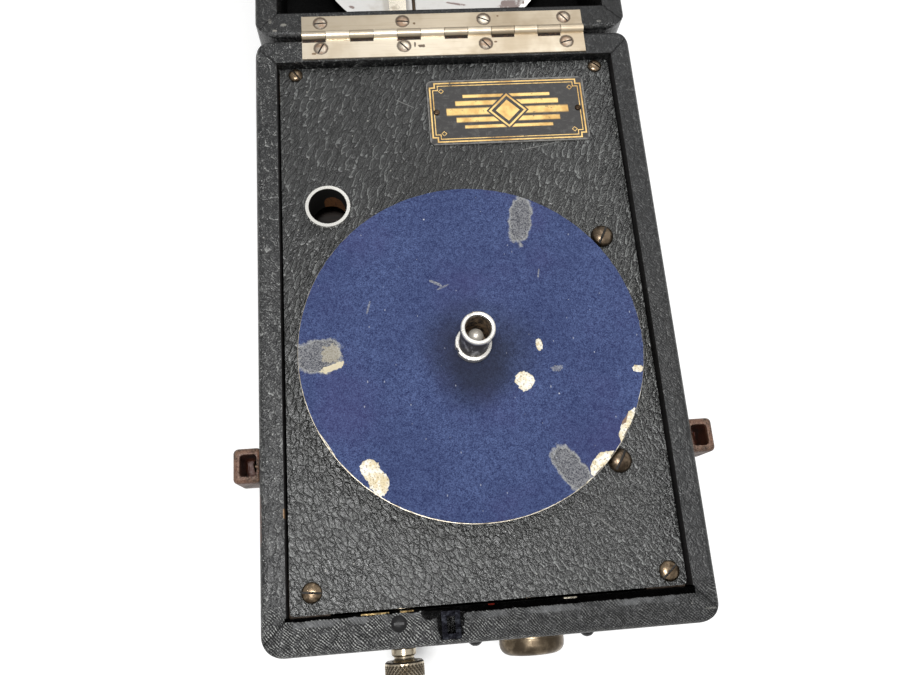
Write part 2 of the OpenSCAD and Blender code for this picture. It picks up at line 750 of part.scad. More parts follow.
module strap_loops() color("saddlebrown") hinge_frame() for (x = [-1, 1]) difference() {
  translate([x * (half_w + loop_reach / 2), -loop_back, loop_z]) linear_extrude(loop_h, center = true)
    difference() {
      rounded_rect(loop_reach, loop_l, 3.1);
      rounded_rect(loop_reach - 2 * leather_t, loop_l - 2 * leather_t, 2);
    }
  for (z = [-1, 1]) translate([x * half_w, -loop_back, loop_z + z * loop_rivet_dz])
    along_x() cylinder(r = 1.5, h = 2 * leather_t + 4, center = true);
}

module strap_loop_rivets() color("peru") hinge_frame() for (x = [-1, 1], z = [-1, 1])
  translate([x * (half_w + leather_t), -loop_back, loop_z + z * loop_rivet_dz]) rotate([0, x * 90, 0]) {
    dome(3, 1);
    translate([0, 0, -leather_t - 8]) cylinder(r = 1.5, h = leather_t + 8.2);
  }

// Spring motor frame

module lug_places() for (at = concat(lugs, [hidden_lug])) translate([at[0], at[1], 0]) children();

module frame_outline() {
  translate([(frame_left + frame_right) / 2, (frame_front + frame_rear) / 2])
    rounded_rect(frame_right - frame_left, frame_rear - frame_front, 8);
}

module frame_bores(z, h, rs) {
  translate([0, 0, z]) cylinder(r = rs[0], h = h);
  translate([wheel_at[0], wheel_at[1], z]) cylinder(r = rs[1], h = h);
  translate([barrel_at[0], barrel_at[1], z]) cylinder(r = rs[2], h = h);
}

module motor_top_plate() color("lightgray") spindle_frame() difference() {
  union() {
    translate([0, 0, top_plate_under]) linear_extrude(motor_plate_t) {
      frame_outline();
      for (at = lugs) translate(at) circle(r = lug_r);
      polygon([[lugs[0][0] - lug_r, lugs[0][1]], [lugs[0][0] + lug_r, lugs[0][1]],
               [frame_right, 8], [40, 20]]);
    }
    translate([0, 0, top_plate_under - 5]) cylinder(r = spindle_r + 4, h = 5 + eps);
  }
  frame_bores(top_plate_under - 6, motor_plate_t + 7, [spindle_r + run, 1.5 + run, 2.5 + run]);
  translate([0, 0, top_plate_under - 1]) lug_places() cylinder(r = 2, h = motor_plate_t + 2);
}

module motor_bottom_plate() color("lightgray") spindle_frame() difference() {
  union() {
    translate([0, 0, low_plate_top - motor_plate_t]) linear_extrude(motor_plate_t) frame_outline();
    translate([0, 0, low_plate_top - motor_plate_t - 3]) cylinder(r = 7, h = 3 + eps);
  }
  frame_bores(low_plate_top - motor_plate_t - 1.5, motor_plate_t + 3, [3 + run, 1.5 + run, 2.5 + run]);
}

module motor_pillars() color("gray") spindle_frame() for (at = pillars)
  translate([at[0], at[1], low_plate_top]) cylinder(r = pillar_r, h = pillar_l);

module motor_board_screws() color("silver") spindle_frame() lug_places() {
  translate([0, 0, board_top])
    dome_screw(motor_screw_head_r, motor_screw_head_h, 2, board_t + motor_plate_t + 3.5, 45);
  translate([0, 0, top_plate_under - 3]) ring(4, 2, 3);
}

// A bracket hanging from the top plate with a bore along Y.
module bracket(at, w, bore_z, bore_r) difference() {
  translate([at[0] - w / 2, at[1], bore_z - 5]) cube([w, bracket_t, top_plate_under - bore_z + 5]);
  translate([at[0], at[1] - 1, bore_z]) along_y() cylinder(r = bore_r, h = bracket_t + 2);
}

module motor_brackets() color("goldenrod") spindle_frame() {
  bracket([-governor_left, governor_rear], 10, governor_z, governor_pivot_r + run);
  bracket([-governor_left, governor_front - bracket_t], 10, governor_z, governor_pivot_r + run);
  bracket([winding_right, winding_bracket_y], 15, -shaft_drop, winding_shaft_r + run);
}

module winding_brake_spring() color("slategray") spindle_frame() {
  coil_r = 0.6;
  coil_step = 1.1;
  coils = 8;
  length = (coils - 1) * coil_step + 2 * coil_r;
  translate([winding_right, winding_bracket_y - length, -shaft_drop]) along_y() rotate_extrude()
    for (i = [0 : coils - 1])
      translate([winding_shaft_r + 0.15 + coil_r, coil_r + i * coil_step]) circle(r = coil_r, $fn = 24);
}

module lever_post() color("silver") spindle_frame() translate([lever_at[0], lever_at[1], 0]) {
  lever_top = -shaft_drop + lever_t / 2;
  translate([0, 0, lever_top + 0.1]) cylinder(r = 3, h = board_under - lever_top - 0.1);
  translate([0, 0, -shaft_drop - lever_t / 2 - 0.1]) cylinder(r = 1.8, h = lever_t + 0.3);
  translate([0, 0, -shaft_drop - lever_t / 2 - 2]) cylinder(r = 3, h = 1.9);
}

// Lid

module lid_walls() color("dimgray") hinge_frame() difference() {
  intersection() {
    lid_block();
    span([-half_w - 1, 0, lid_floor], [half_w + 1, case_d + 1, 1]);
  }
  translate([0, (case_d - lid_far_wall + wall_gap + lid_near_wall) / 2, lid_floor - 1])
    linear_extrude(lid_h) rounded_rect(case_w - 2 * lid_side_wall,
                                       case_d - lid_far_wall - lid_near_wall - wall_gap, 3);
  hinge_groove();
  hinge_screw_holes(1);
  latch_pocket(1);
}

module lid_panel() color("dimgray") hinge_frame() difference() {
  intersection() {
    lid_block();
    span([-half_w - 1, 0, -lid_h - 1], [half_w + 1, case_d + 1, lid_floor]);
  }
  translate([0, bowl_back, -lid_h + 2]) cylinder(r = 1.5, h = lid_panel_t);
}

module hinge_lid_leaf() color("tan") hinge_frame() hinge_leaf(1, lid_leaf_w, 0);

module hinge_lid_screws() color("silver") hinge_frame() hinge_screws(1);

module sound_reflector() color("silver") hinge_frame() translate([0, bowl_back, lid_floor])
  difference() {
    intersection() {
      translate([0, 0, bowl_ball_r]) sphere(r = bowl_ball_r, $fn = 360);
      cylinder(r = bowl_r + 10, h = bowl_depth);
    }
    translate([0, 0, bowl_ball_r]) sphere(r = bowl_ball_r - bowl_t, $fn = 360);
    translate([0, 0, -1]) cylinder(r = 1.5, h = 4);
  }

// Moves its children to the middle of the strap, on the bowl's rim.
module strap_place() translate([-bowl_strap_left, bowl_back, bowl_rim - bowl_t]) children();

module reflector_strap() color("silver") hinge_frame() strap_place() difference() {
  translate([0, 0, bowl_t / 2]) cube([bowl_strap_w, 2 * strap_half, bowl_t], center = true);
  for (y = [-1, 1]) translate([0, y * strap_rivet_y, -1]) cylinder(r = 1, h = bowl_t + 2);
}

module reflector_rivets() color("peru") hinge_frame() {
  for (y = [-1, 1]) strap_place() translate([0, y * strap_rivet_y, bowl_t]) {
    dome(1.85, 0.9);
    translate([0, 0, -bowl_t]) cylinder(r = 1, h = bowl_t + 0.2);
  }
  translate([0, bowl_back, lid_floor + bowl_t + rivet_sag]) {
    dome(bowl_rivet_r, 1.6);
    translate([0, 0, -bowl_t - 3]) cylinder(r = 1.5 - run, h = bowl_t + 3.2);
  }
}

module lid_wire_clip() color("silver") hinge_frame() strap_place()
  translate([bowl_strap_w / 2 + 3.5 + wire_r, 0, wire_r]) {
    along_y() cylinder(r = wire_r, h = 2 * strap_half - 2, center = true);
    for (y = [-1, 1]) translate([0, y * (strap_half - 1), 0]) {
      sphere(r = wire_r);
      rotate([0, -90, 0]) cylinder(r = wire_r, h = wire_r + 3.5);
    }
  }

module lid_hook() color("black") hinge_frame() translate([-latch_left, latch_back, rim_wood]) {
  translate([-catch_w / 2, -catch_d / 2, -catch_t]) cube([catch_w, catch_d, catch_t]);
  difference() {
    translate([-1.2, -2.8, -0.5]) cube([2.4, 5.6, hook_h + 0.5]);
    translate([-2, 1.6, hook_h - 3.4]) cube([4, 2, 1.6]);
  }
}

// Turntable

// Pressed plate with its rim turned down, drawn as a half section.
module turntable_plate() color("silver") spindle_frame() translate([0, 0, felt_z]) rotate_extrude()
  polygon([
    [spindle_r, 0], [spindle_r, -turntable_t],
    [turntable_r - turntable_rim_t, -turntable_t], [turntable_r - turntable_rim_t, -turntable_rim_h],
    [turntable_r, -turntable_rim_h], [turntable_r, 0]
  ]);

module turntable_felt() color("darkslateblue") spindle_frame() translate([0, 0, felt_z])
  ring(turntable_r - 0.2, spindle_r + air, felt_t);

module turntable_hub() color("gray") spindle_frame() translate([0, 0, table_z - hub_l]) {
  ring(hub_r * 0.6, spindle_r, hub_l);
  translate([0, 0, hub_l - 2]) ring(hub_r, spindle_r, 2);
}

module spindle() color("silver") spindle_frame() {
  tip = felt_top + spindle_tip_h - spindle_r;
  translate([0, 0, low_plate_top]) cylinder(r = spindle_r, h = tip - low_plate_top);
  translate([0, 0, tip]) sphere(r = spindle_r);
  translate([0, 0, low_plate_top - motor_plate_t - 1.4]) cylinder(r = 3, h = motor_plate_t + 2);
  translate([0, 0, table_z - hub_l - 2]) cylinder(r = spindle_r + 1.5, h = 2);
  translate([0, 0, wheel_z - 1]) rotate(to_wheel) gear(spindle_leaves, fine_module, wheel_t + 2, 1);
}

module governor_wheel() color("goldenrod") spindle_frame() translate([0, 0, governor_z]) {
  pitch_r = coarse_module * governor_teeth / 2;
  translate([0, 0, -governor_wheel_t / 2]) ring(pitch_r - 1.1, spindle_r, governor_wheel_t);
  for (i = [0 : governor_teeth - 1]) rotate(i * 360 / governor_teeth)
    translate([pitch_r - 0.6, 0, 0]) rotate([-worm_angle, 0, 0])
      cube([2.7, 1.05 * coarse_module, governor_wheel_t], center = true);
}

module record_clamp() color("gray") spindle_frame() translate([0, 0, felt_top]) difference() {
  union() {
    cylinder(r = clamp_collar_r, h = clamp_collar_h);
    cylinder(r = clamp_r, h = clamp_h);
  }
  translate([0, 0, -1]) cylinder(r = spindle_r + run, h = clamp_h);
  translate([0, 0, clamp_collar_h]) cylinder(r = clamp_bore_r, h = clamp_h);
  rotate(21) translate([clamp_r - 0.2, -clamp_slot_w / 2, -1]) cube([5, clamp_slot_w, clamp_collar_h]);
  rotate(201) translate([clamp_r - 0.2, -clamp_slot_w / 2, -1]) cube([5, clamp_slot_w, clamp_collar_h]);
}

// Barrel and winding

module at_barrel(z) spindle_frame() translate([barrel_at[0], barrel_at[1], z]) children();

module spring_barrel() color("gray") {
  at_barrel(barrel_teeth_z) rotate(to_barrel + 180 + 180 / barrel_teeth)
    gear(barrel_teeth, coarse_module, wheel_t, arbor_r + run);
  at_barrel(barrel_z - eps) ring(barrel_r, barrel_r - barrel_wall, barrel_h + eps);
}

module barrel_cover() color("goldenrod") at_barrel(barrel_cover_z)
  ring(barrel_r, arbor_r + run, 1);

module mainspring() color("steelblue") at_barrel(barrel_z + 1) {
  low_r = arbor_r + 2;
  high_r = barrel_r - barrel_wall - air - mainspring_t;
  steps = mainspring_turns * 24;
  inner = [for (i = [0 : steps]) let (r = low_r + (high_r - low_r) * i / steps)
    r * [cos(i * 15), sin(i * 15)]];
  outer = [for (i = [0 : steps]) let (r = low_r + (high_r - low_r) * i / steps + mainspring_t)
    r * [cos(i * 15), sin(i * 15)]];
  linear_extrude(barrel_h - 2) polygon(concat(inner, [for (i = [steps : -1 : 0]) outer[i]]));
  intersection() {
    translate([high_r, -2, 0]) cube([air + mainspring_t, 2, barrel_h - 2]);
    cylinder(r = barrel_r - barrel_wall, h = barrel_h);
  }
}

module barrel_arbor() color("silver") {
  crown_top = crown_face_z + crown_t;
  at_barrel(low_plate_top + 0.5) cylinder(r = arbor_r, h = crown_top - low_plate_top);
  at_barrel(low_plate_top - motor_plate_t) cylinder(r = 2.5, h = 3);
  at_barrel(crown_top) cylinder(r = 2.5, h = board_under - crown_top - 0.2);
}

module winding_wheel() color("goldenrod") {
  at_barrel(crown_face_z) ring(crown_r + 1.5, arbor_r, crown_t);
  at_barrel(crown_face_z - 2 * coarse_module) for (i = [0 : crown_teeth - 1])
    rotate(i * 360 / crown_teeth) translate([crown_r - 1.5, -0.5 * coarse_module, 0])
      cube([3, coarse_module, 2 * coarse_module + eps]);
}

module winding_shaft() color("silver") {
  rear = -spindle_back - barrel_front - crown_r + 3.5;
  front = -case_d - escutcheon_t - 2;
  hinge_frame() translate([winding_right, 0, -shaft_drop]) {
    difference() {
      translate([0, front, 0]) along_y() cylinder(r = winding_shaft_r, h = rear - front);
      translate([0, front - 1, 0]) along_y() cylinder(r = crank_bore_r, h = crank_bore_l + 1);
    }
    translate([0, rear - 8, 0]) along_y() rotate(15) gear(pinion_leaves, coarse_module, 6.5, 2);
  }
}

module intermediate_arbor() color("silver") spindle_frame() translate([wheel_at[0], wheel_at[1], 0]) {
  translate([0, 0, low_plate_top - motor_plate_t]) cylinder(r = 1.5, h = board_under - low_plate_top
                                                            + motor_plate_t - 0.2);
  translate([0, 0, low_plate_top + 0.5]) cylinder(r = 2.5, h = pillar_l - 1);
  translate([0, 0, low_plate_top + 1]) rotate(to_barrel) gear(pinion_leaves, coarse_module, 5.5, 2);
}

module intermediate_wheel() color("goldenrod") spindle_frame()
  translate([wheel_at[0], wheel_at[1], wheel_z]) rotate(to_wheel + 180 + 180 / wheel_teeth)
    gear(wheel_teeth, fine_module, wheel_t, 2.5, 5, 2.5);

// Governor

module at_governor(y) spindle_frame() translate([-governor_left, y, governor_z]) children();

module governor_shaft() color("silver") {
  at_governor(governor_front - bracket_t + 0.2) along_y()
    cylinder(r = governor_pivot_r, h = governor_rear - governor_front + 2 * bracket_t - 0.4);
  at_governor(governor_front + 0.3) along_y()
    cylinder(r = governor_shaft_r, h = governor_rear - governor_front - 0.6);
  at_governor(0) along_y() rotate(90) linear_extrude(2 * worm_lead, center = true, twist = -720,
                                                      slices = 48, segments = len(worm_outline))
    polygon(worm_outline);
}

module governor_weights() color("goldenrod") for (a = [90, 210, 330])
  at_governor(weights_y - weight_l / 2) along_y() rotate(a) translate([weight_orbit_r, 0, 0])
    cylinder(r = weight_r, h = weight_l);

// Each spring is a thin strip bowed from the collar out to its weight and in to the sleeve.
module governor_springs() color("steelblue") for (a = [90, 210, 330]) {
  low = governor_shaft_r + 1.8;
  high = weight_orbit_r - weight_r - 0.4;
  at_governor(weights_y) along_y() rotate(a) rotate([90, 0, 0]) linear_extrude(3, center = true) polygon([
    [low, disc_y - weights_y + 3], [high, -weight_l / 2], [high, weight_l / 2],
    [low, collar_y - weights_y], [low + 0.4, collar_y - weights_y], [high + 0.4, weight_l / 2],
    [high + 0.4, -weight_l / 2], [low + 0.4, disc_y - weights_y + 3]
  ]);
}

module governor_disc() color("gray") {
  at_governor(disc_y) along_y() ring(governor_disc_r, governor_shaft_r, disc_t);
  at_governor(disc_y) along_y() ring(governor_shaft_r + 1.8, governor_shaft_r, 6);
  at_governor(collar_y - 3) along_y() ring(governor_shaft_r + 1.8, governor_shaft_r, 5);
}

// Speed regulator

module bar(from, to, w, t) {
  run_to = to - from;
  translate([from[0], from[1], 0]) rotate(atan2(run_to[1], run_to[0])) translate([0, -w / 2, -t / 2])
    cube([norm(run_to), w, t]);
}

module speed_lever() color("goldenrod") spindle_frame() translate([0, 0, -shaft_drop]) difference() {
  union() {
    bar(lever_at, lever_bend, 6, lever_t);
    bar(lever_at, lever_touch, 6, lever_t);
    bar(lever_bend, pad_at, 5, lever_t);
    translate([lever_at[0], lever_at[1], -lever_t / 2]) cylinder(r = 5, h = lever_t);
    translate([lever_bend[0], lever_bend[1], -lever_t / 2]) cylinder(r = 3.4, h = lever_t);
    translate([lever_touch[0], lever_touch[1], -lever_t / 2]) cylinder(r = lever_touch_r, h = lever_t);
    translate([pad_at[0], pad_at[1] - pad_l, 0]) along_y() cylinder(r = 2, h = 2 * pad_l);
  }
  translate([lever_at[0], lever_at[1], -lever_t]) cylinder(r = 1.8 + run, h = 2 * lever_t);
}

module push_rod() color("silver") hinge_frame() translate([-speed_left, 0, -shaft_drop]) {
  translate([0, rod_front_y, 0]) along_y() cylinder(r = screw_r, h = rod_end_y - rod_front_y - 1.2);
  translate([0, rod_end_y - 1.2, 0]) along_y() dome(screw_r, 1.2);
}

module speed_knob() color("darkgoldenrod") hinge_frame() translate([-speed_left, 0, -shaft_drop]) {
  neck_y = -case_d - bush_proud - knob_gap;
  translate([0, neck_y - knob_neck_l, 0]) along_y() cylinder(r = knob_neck_r, h = knob_neck_l);
  translate([0, neck_y - knob_neck_l - knob_l, 0]) along_y() cylinder(r = knob_r, h = knob_l);
  translate([0, neck_y, 0]) along_y() cylinder(r = screw_r, h = rod_front_y - neck_y);
}

case_walls();
case_bottom();
feet();
corner_blocks();
motor_board();
board_screws();
nameplate();
nameplate_pins();
hinge_case_leaf();
hinge_pin();
hinge_case_screws();
tone_arm_socket();
sound_partition();
sound_baffle();
sound_grille();
crank_escutcheon();
escutcheon_screws();
speed_bush();
bush_lock_screw();
catch_plate();
strap_loops();
strap_loop_rivets();
motor_top_plate();
motor_bottom_plate();
motor_pillars();
motor_board_screws();
motor_brackets();
winding_brake_spring();
lever_post();
lid_walls();
lid_panel();
hinge_lid_leaf();
hinge_lid_screws();
sound_reflector();
reflector_strap();
reflector_rivets();
lid_wire_clip();
lid_hook();
turntable_plate();
turntable_felt();
turntable_hub();
spindle();
governor_wheel();
record_clamp();
spring_barrel();
barrel_cover();
mainspring();
barrel_arbor();
winding_wheel();
winding_shaft();
intermediate_arbor();
intermediate_wheel();
governor_shaft();
governor_weights();
governor_springs();
governor_disc();
speed_lever();
push_rod();
speed_knob();
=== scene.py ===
import math
import bpy
from mathutils import Matrix, Vector


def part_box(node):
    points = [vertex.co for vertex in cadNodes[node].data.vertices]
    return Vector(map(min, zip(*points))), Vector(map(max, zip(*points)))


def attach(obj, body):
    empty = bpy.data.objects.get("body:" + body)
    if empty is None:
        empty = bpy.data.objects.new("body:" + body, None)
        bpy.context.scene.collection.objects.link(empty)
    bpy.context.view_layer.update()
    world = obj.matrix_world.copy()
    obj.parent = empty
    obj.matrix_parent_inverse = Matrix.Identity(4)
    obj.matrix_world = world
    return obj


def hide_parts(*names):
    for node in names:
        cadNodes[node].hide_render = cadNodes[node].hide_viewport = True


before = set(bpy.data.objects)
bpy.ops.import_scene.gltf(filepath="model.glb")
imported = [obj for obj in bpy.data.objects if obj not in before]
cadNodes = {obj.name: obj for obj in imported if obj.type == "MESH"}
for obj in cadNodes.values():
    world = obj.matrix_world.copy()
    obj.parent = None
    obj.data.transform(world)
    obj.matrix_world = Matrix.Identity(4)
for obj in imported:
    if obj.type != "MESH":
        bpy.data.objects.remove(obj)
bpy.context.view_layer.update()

scene = bpy.context.scene
scene.view_settings.view_transform = "Standard"
print("frame loaded:", len(cadNodes), "pieces")


# small tools, used all through

def setMode(mode):
    if bpy.context.mode[:4] != mode[:4]:
        bpy.ops.object.mode_set(mode=mode)


def clearSelection():
    setMode("OBJECT")
    bpy.ops.object.select_all(action="DESELECT")


def pick(piece):
    clearSelection()
    piece.select_set(True)
    bpy.context.view_layer.objects.active = piece


def applyPlace():
    bpy.ops.object.transform_apply(location=True, rotation=True, scale=True)


def editAll():
    setMode("EDIT")
    bpy.ops.mesh.select_all(action="SELECT")


def faceOut():
    bpy.ops.mesh.select_all(action="SELECT")
    bpy.ops.mesh.normals_make_consistent(inside=False)
    setMode("OBJECT")


def settle(piece, place=(0, 0, 0), lean=(0, 0, 0)):
    # millimetres and degrees; leaves the object at the origin with its place in its mesh
    pick(piece)
    piece.scale = (0.001, 0.001, 0.001)
    piece.rotation_euler = [math.radians(a) for a in lean]
    piece.location = [v / 1000 for v in place]
    applyPlace()
    return piece


def smooth(piece, angle):
    pick(piece)
    bpy.ops.object.shade_smooth_by_angle(angle=math.radians(angle))
    return piece


def applyModifier(piece, kind, **values):
    pick(piece)
    modifier = piece.modifiers.new(kind.title(), kind)
    for key, value in values.items():
        setattr(modifier, key, value)
    bpy.ops.object.modifier_apply(modifier=modifier.name)


def cutAway(piece, cutter):
    applyModifier(piece, "BOOLEAN", operation="DIFFERENCE", object=cutter, solver="EXACT")
    bpy.data.objects.remove(cutter)


def turned(name, profile, segments=64, hollow=False):
    # profile is radius and height in millimetres; hollow joins the last loop to the first
    clearSelection()
    radius, height = profile[0]
    bpy.ops.mesh.primitive_circle_add(vertices=segments, radius=radius, location=(0, 0, height),
                                      fill_type="NOTHING" if hollow else "NGON")
    piece = bpy.context.object
    piece.name = name
    applyPlace()
    setMode("EDIT")
    bpy.ops.mesh.select_mode(type="VERT")
    bpy.ops.mesh.select_all(action="SELECT")
    extrude = bpy.ops.mesh.extrude_edges_move if hollow else bpy.ops.mesh.extrude_region_move
    for nextRadius, nextHeight in profile[1:]:
        extrude(TRANSFORM_OT_translate={"value": (0, 0, nextHeight - height)})
        share = nextRadius / radius
        bpy.ops.transform.resize(value=(share, share, 1), center_override=(0, 0, nextHeight))
        radius, height = nextRadius, nextHeight
    bpy.ops.mesh.select_all(action="SELECT")
    bpy.ops.mesh.remove_doubles(threshold=0.0005)
    faceOut()
    return piece


def softBox(name, size, place, bevel=0.3, segments=2):
    clearSelection()
    bpy.ops.mesh.primitive_cube_add(size=1, location=place)
    piece = bpy.context.object
    piece.name = name
    piece.scale = size
    applyPlace()
    editAll()
    if bevel > 0:
        bpy.ops.mesh.bevel(offset=bevel, segments=segments, affect="EDGES")
    setMode("OBJECT")
    return piece


def joinAll(name, parts):
    clearSelection()
    for part in parts:
        part.select_set(True)
    bpy.context.view_layer.objects.active = parts[0]
    bpy.ops.object.join()
    parts[0].name = name
    return parts[0]


def copyOf(piece):
    # a copy with its own mesh
    twin = piece.copy()
    twin.data = piece.data.copy()
    scene.collection.objects.link(twin)
    return twin


def dress(piece, material, body):
    piece.data.materials.clear()
    piece.data.materials.append(material)
    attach(piece, body)


def dressNodes(material, *names):
    for name in names:
        piece = cadNodes[name]
        if not piece.data.materials:
            piece.data.materials.append(material)
        for slot in piece.material_slots:
            slot.material = material


# node building: signs such as + and * between values become maths nodes

class Value:
    # a socket, with the signs that work on it
    def __init__(self, socket):
        self.socket = socket

    def __abs__(self):
        return maths("ABSOLUTE", self)

    def __add__(self, other):
        return maths("ADD", self, other)

    def __sub__(self, other):
        return maths("SUBTRACT", self, other)

    def __rsub__(self, other):
        return maths("SUBTRACT", other, self)

    def __mul__(self, other):
        return maths("MULTIPLY", self, other)

    def __truediv__(self, other):
        return maths("DIVIDE", self, other)

    def __rtruediv__(self, other):
        return maths("DIVIDE", other, self)

    def __pow__(self, other):
        return maths("POWER", self, other)

    def __mod__(self, other):
        return maths("FLOORED_MODULO", self, other)

    def __lt__(self, other):
        return maths("LESS_THAN", self, other)

    def __gt__(self, other):
        return maths("GREATER_THAN", self, other)


def feed(made, key, value):
    if isinstance(value, Value):
        made.id_data.links.new(value.socket, made.inputs[key])
    elif value is not None:
        made.inputs[key].default_value = value


def outputsOf(made):
    return {socket.name: Value(socket) for socket in made.outputs}


def node(source, kind, inputs, **settings):
    # source is a node tree or any value in it
    tree = source.socket.id_data if isinstance(source, Value) else source
    made = tree.nodes.new(kind)
    for key, value in settings.items():
        setattr(made, key, value)
    for key, value in inputs.items():
        feed(made, key, value)
    return made


def firstOutput(*arguments, **settings):
    return Value(node(*arguments, **settings).outputs[0])


def isWide(value):
    return isinstance(value, (tuple, list)) or isinstance(value, Value) and value.socket.type in ("VECTOR", "RGBA")


def maths(operation, a, b=None, clamp=False):
    source = a if isinstance(a, Value) else b
    if not isWide(a):
        return firstOutput(source, "ShaderNodeMath", {0: a, 1: b}, operation=operation, use_clamp=clamp)
    if operation == "MULTIPLY" and not isWide(b):
        return firstOutput(source, "ShaderNodeVectorMath", {0: a, "Scale": b}, operation="SCALE")
    return firstOutput(source, "ShaderNodeVectorMath", {0: a, 1: b}, operation=operation)


def larger(a, b):
    return maths("MAXIMUM", a, b)


def smaller(a, b):
    return maths("MINIMUM", a, b)


def lengthOf(vector):
    return Value(node(vector, "ShaderNodeVectorMath", {0: vector}, operation="LENGTH").outputs["Value"])


def axesOf(vector):
    return [Value(socket) for socket in node(vector, "ShaderNodeSeparateXYZ", {0: vector}).outputs]


def vectorOf(x, y, z):
    return firstOutput(x, "ShaderNodeCombineXYZ", {0: x, 1: y, 2: z})


def ramp(value, low, high, start=0, end=1):
    return firstOutput(value, "ShaderNodeMapRange", {"Value": value, "From Min": low, "From Max": high,
                       "To Min": start, "To Max": end}, interpolation_type="SMOOTHSTEP")


def fade(value, low, high):
    return ramp(value, low, high, 1, 0)


def mix(factor, a, b):
    source = next(v for v in (factor, a, b) if isinstance(v, Value))
    made = node(source, "ShaderNodeMix", {0: factor}, data_type="RGBA")
    feed(made, 6, a)
    feed(made, 7, b)
    return Value(made.outputs[2])


def noise(vector, scale, detail=3, roughness=0.55, distortion=0, output="Fac"):
    return outputsOf(node(vector, "ShaderNodeTexNoise", {"Vector": vector, "Scale": scale, "Detail": detail,
                          "Roughness": roughness, "Distortion": distortion}))[output]


def cellsOf(vector, scale, **settings):
    return outputsOf(node(vector, "ShaderNodeTexVoronoi", {"Vector": vector, "Scale": scale}, **settings))


def newMaterial(name):
    # the third thing given back is the place on the piece, in metres
    material = bpy.data.materials.new(name)
    material.use_nodes = True
    tree = material.node_tree
    tree.nodes.clear()
    output = tree.nodes.new("ShaderNodeOutputMaterial")
    shader = tree.nodes.new("ShaderNodeBsdfPrincipled")
    tree.links.new(shader.outputs["BSDF"], output.inputs["Surface"])
    return material, shader, outputsOf(tree.nodes.new("ShaderNodeTexCoord"))["Object"]


def rgb(*levels):
    # 0 to 255 as seen on a screen, turned to linear
    shares = [v / 255 for v in levels]
    return (*(v / 12.92 if v <= 0.04045 else ((v + 0.055) / 1.055) ** 2.4 for v in shares), 1)


def coat(shader, base, rough, metal=None, specular=None):
    for key, value in (("Base Color", base), ("Roughness", rough), ("Metallic", metal),
                       ("Specular IOR Level", specular)):
        feed(shader, key, value)


def newGroup(name, inputs, outputs):
    group = bpy.data.node_groups.new(name, "ShaderNodeTree")
    for label, value in inputs.items():
        kind = "NodeSocketFloat" if isinstance(value, (int, float)) else "NodeSocketVector"
        socket = group.interface.new_socket(name=label, in_out="INPUT", socket_type=kind)
        if value is not None:
            socket.default_value = value
    for label in outputs:
        group.interface.new_socket(name=label, in_out="OUTPUT", socket_type="NodeSocketFloat")
    return group, outputsOf(group.nodes.new("NodeGroupInput")), group.nodes.new("NodeGroupOutput")


def useGroup(group, vector, **inputs):
    return outputsOf(node(vector, "ShaderNodeGroup", {"Vector": vector, **inputs}, node_tree=group))


def addBump(shader, height, strength, distance):
    bump = firstOutput(height, "ShaderNodeBump", {"Height": height, "Strength": strength, "Distance": distance})
    feed(shader, "Normal", bump)


# shared effects

def makeCrinkleGroup():
    # scales with one raised edge, narrow creases between them and fine worm-like ridges, longer one way;
    # CreaseShade marks the creases for painted shade, RidgeHighlight the sloping scale edges for painted highlights
    group, given, result = newGroup("crinkledScales", {"Vector": None, "Cells": 300, "Stretch": (1, 0.6, 1),
                                    "Waver": 0.0012, "Tilt": 0.5}, ("Height", "CreaseShade", "RidgeHighlight"))
    where, cells = given["Vector"], given["Cells"]
    slow = noise(where, 190, 1, 0.5, output="Color")
    quick = noise(where, 620, 2, 0.5, output="Color")
    waver = (slow + quick * 0.35 - (0.67, 0.67, 0.67)) * given["Waver"]
    moved = (where + waver) * given["Stretch"]
    edge = cellsOf(moved, cells, feature="DISTANCE_TO_EDGE")["Distance"]
    cell = cellsOf(moved, cells)
    axes = axesOf((moved - cell["Position"]) * cells)
    chance = firstOutput(where, "ShaderNodeSeparateColor", {0: cell["Color"]})
    slope = axes[1] * -0.5 + axes[0] * -0.9
    tilt = slope * given["Tilt"] * (chance * 0.8 + 0.4)
    worms = firstOutput(where, "ShaderNodeTexNoise", {"Vector": moved, "Scale": cells * 1.5, "Detail": 2,
                        "Roughness": 0.6, "Lacunarity": 2.1, "Offset": 1, "Gain": 1.6},
                        noise_type="RIDGED_MULTIFRACTAL")
    feed(result, "Height", worms * 0.16 + (ramp(edge, 0, 0.16) * 0.42 + tilt))
    feed(result, "CreaseShade", fade(edge, 0, 0.08))
    beside = ramp(edge, 0.03, 0.07) * fade(edge, 0.09, 0.24)
    feed(result, "RidgeHighlight", ramp(tilt, 0.02, 0.25) * beside)
    return group


def makeClothGroup():
    # fine diagonal cloth grain under the coating
    group, given, result = newGroup("clothGrain", {"Vector": None, "Pitch": 0.0006}, ("Height",))
    where = given["Vector"]
    moved = where + noise(where, 110, 3, 0.5, output="Color") * 0.0032
    turn = 6.2832 / given["Pitch"]
    waves = []
    for direction in ((0.7, 0.7, 0.7), (0.7, -0.7, 0.7)):
        along = node(where, "ShaderNodeVectorMath", {0: moved, 1: direction}, operation="DOT_PRODUCT")
        waves.append(maths("SINE", Value(along.outputs["Value"]) * turn))
    uneven = ramp(noise(where, 330, 3, 0.6), 0.35, 0.6, 0.3, 1)
    feed(result, "Height", (waves[1] * 0.4 + waves[0]) * uneven * 0.3 + 0.5)
    return group


def makeBoxWearGroup():
    # 1 along the edges of a box, ragged by noise
    group, given, result = newGroup("boxEdgeWear", {"Vector": None, "Centre": None, "Half": None, "Width": 0.002,
                                    "Ragged": 0.003}, ("Mask",))
    x, y, z = axesOf(given["Half"] - abs(given["Vector"] - given["Centre"]))
    second = larger(smaller(x, y), smaller(larger(x, y), z))
    ragged = second + (noise(given["Vector"], 220, 5, 0.7) - 0.5) * given["Ragged"]
    feed(result, "Mask", fade(ragged, 0, given["Width"]))
    return group


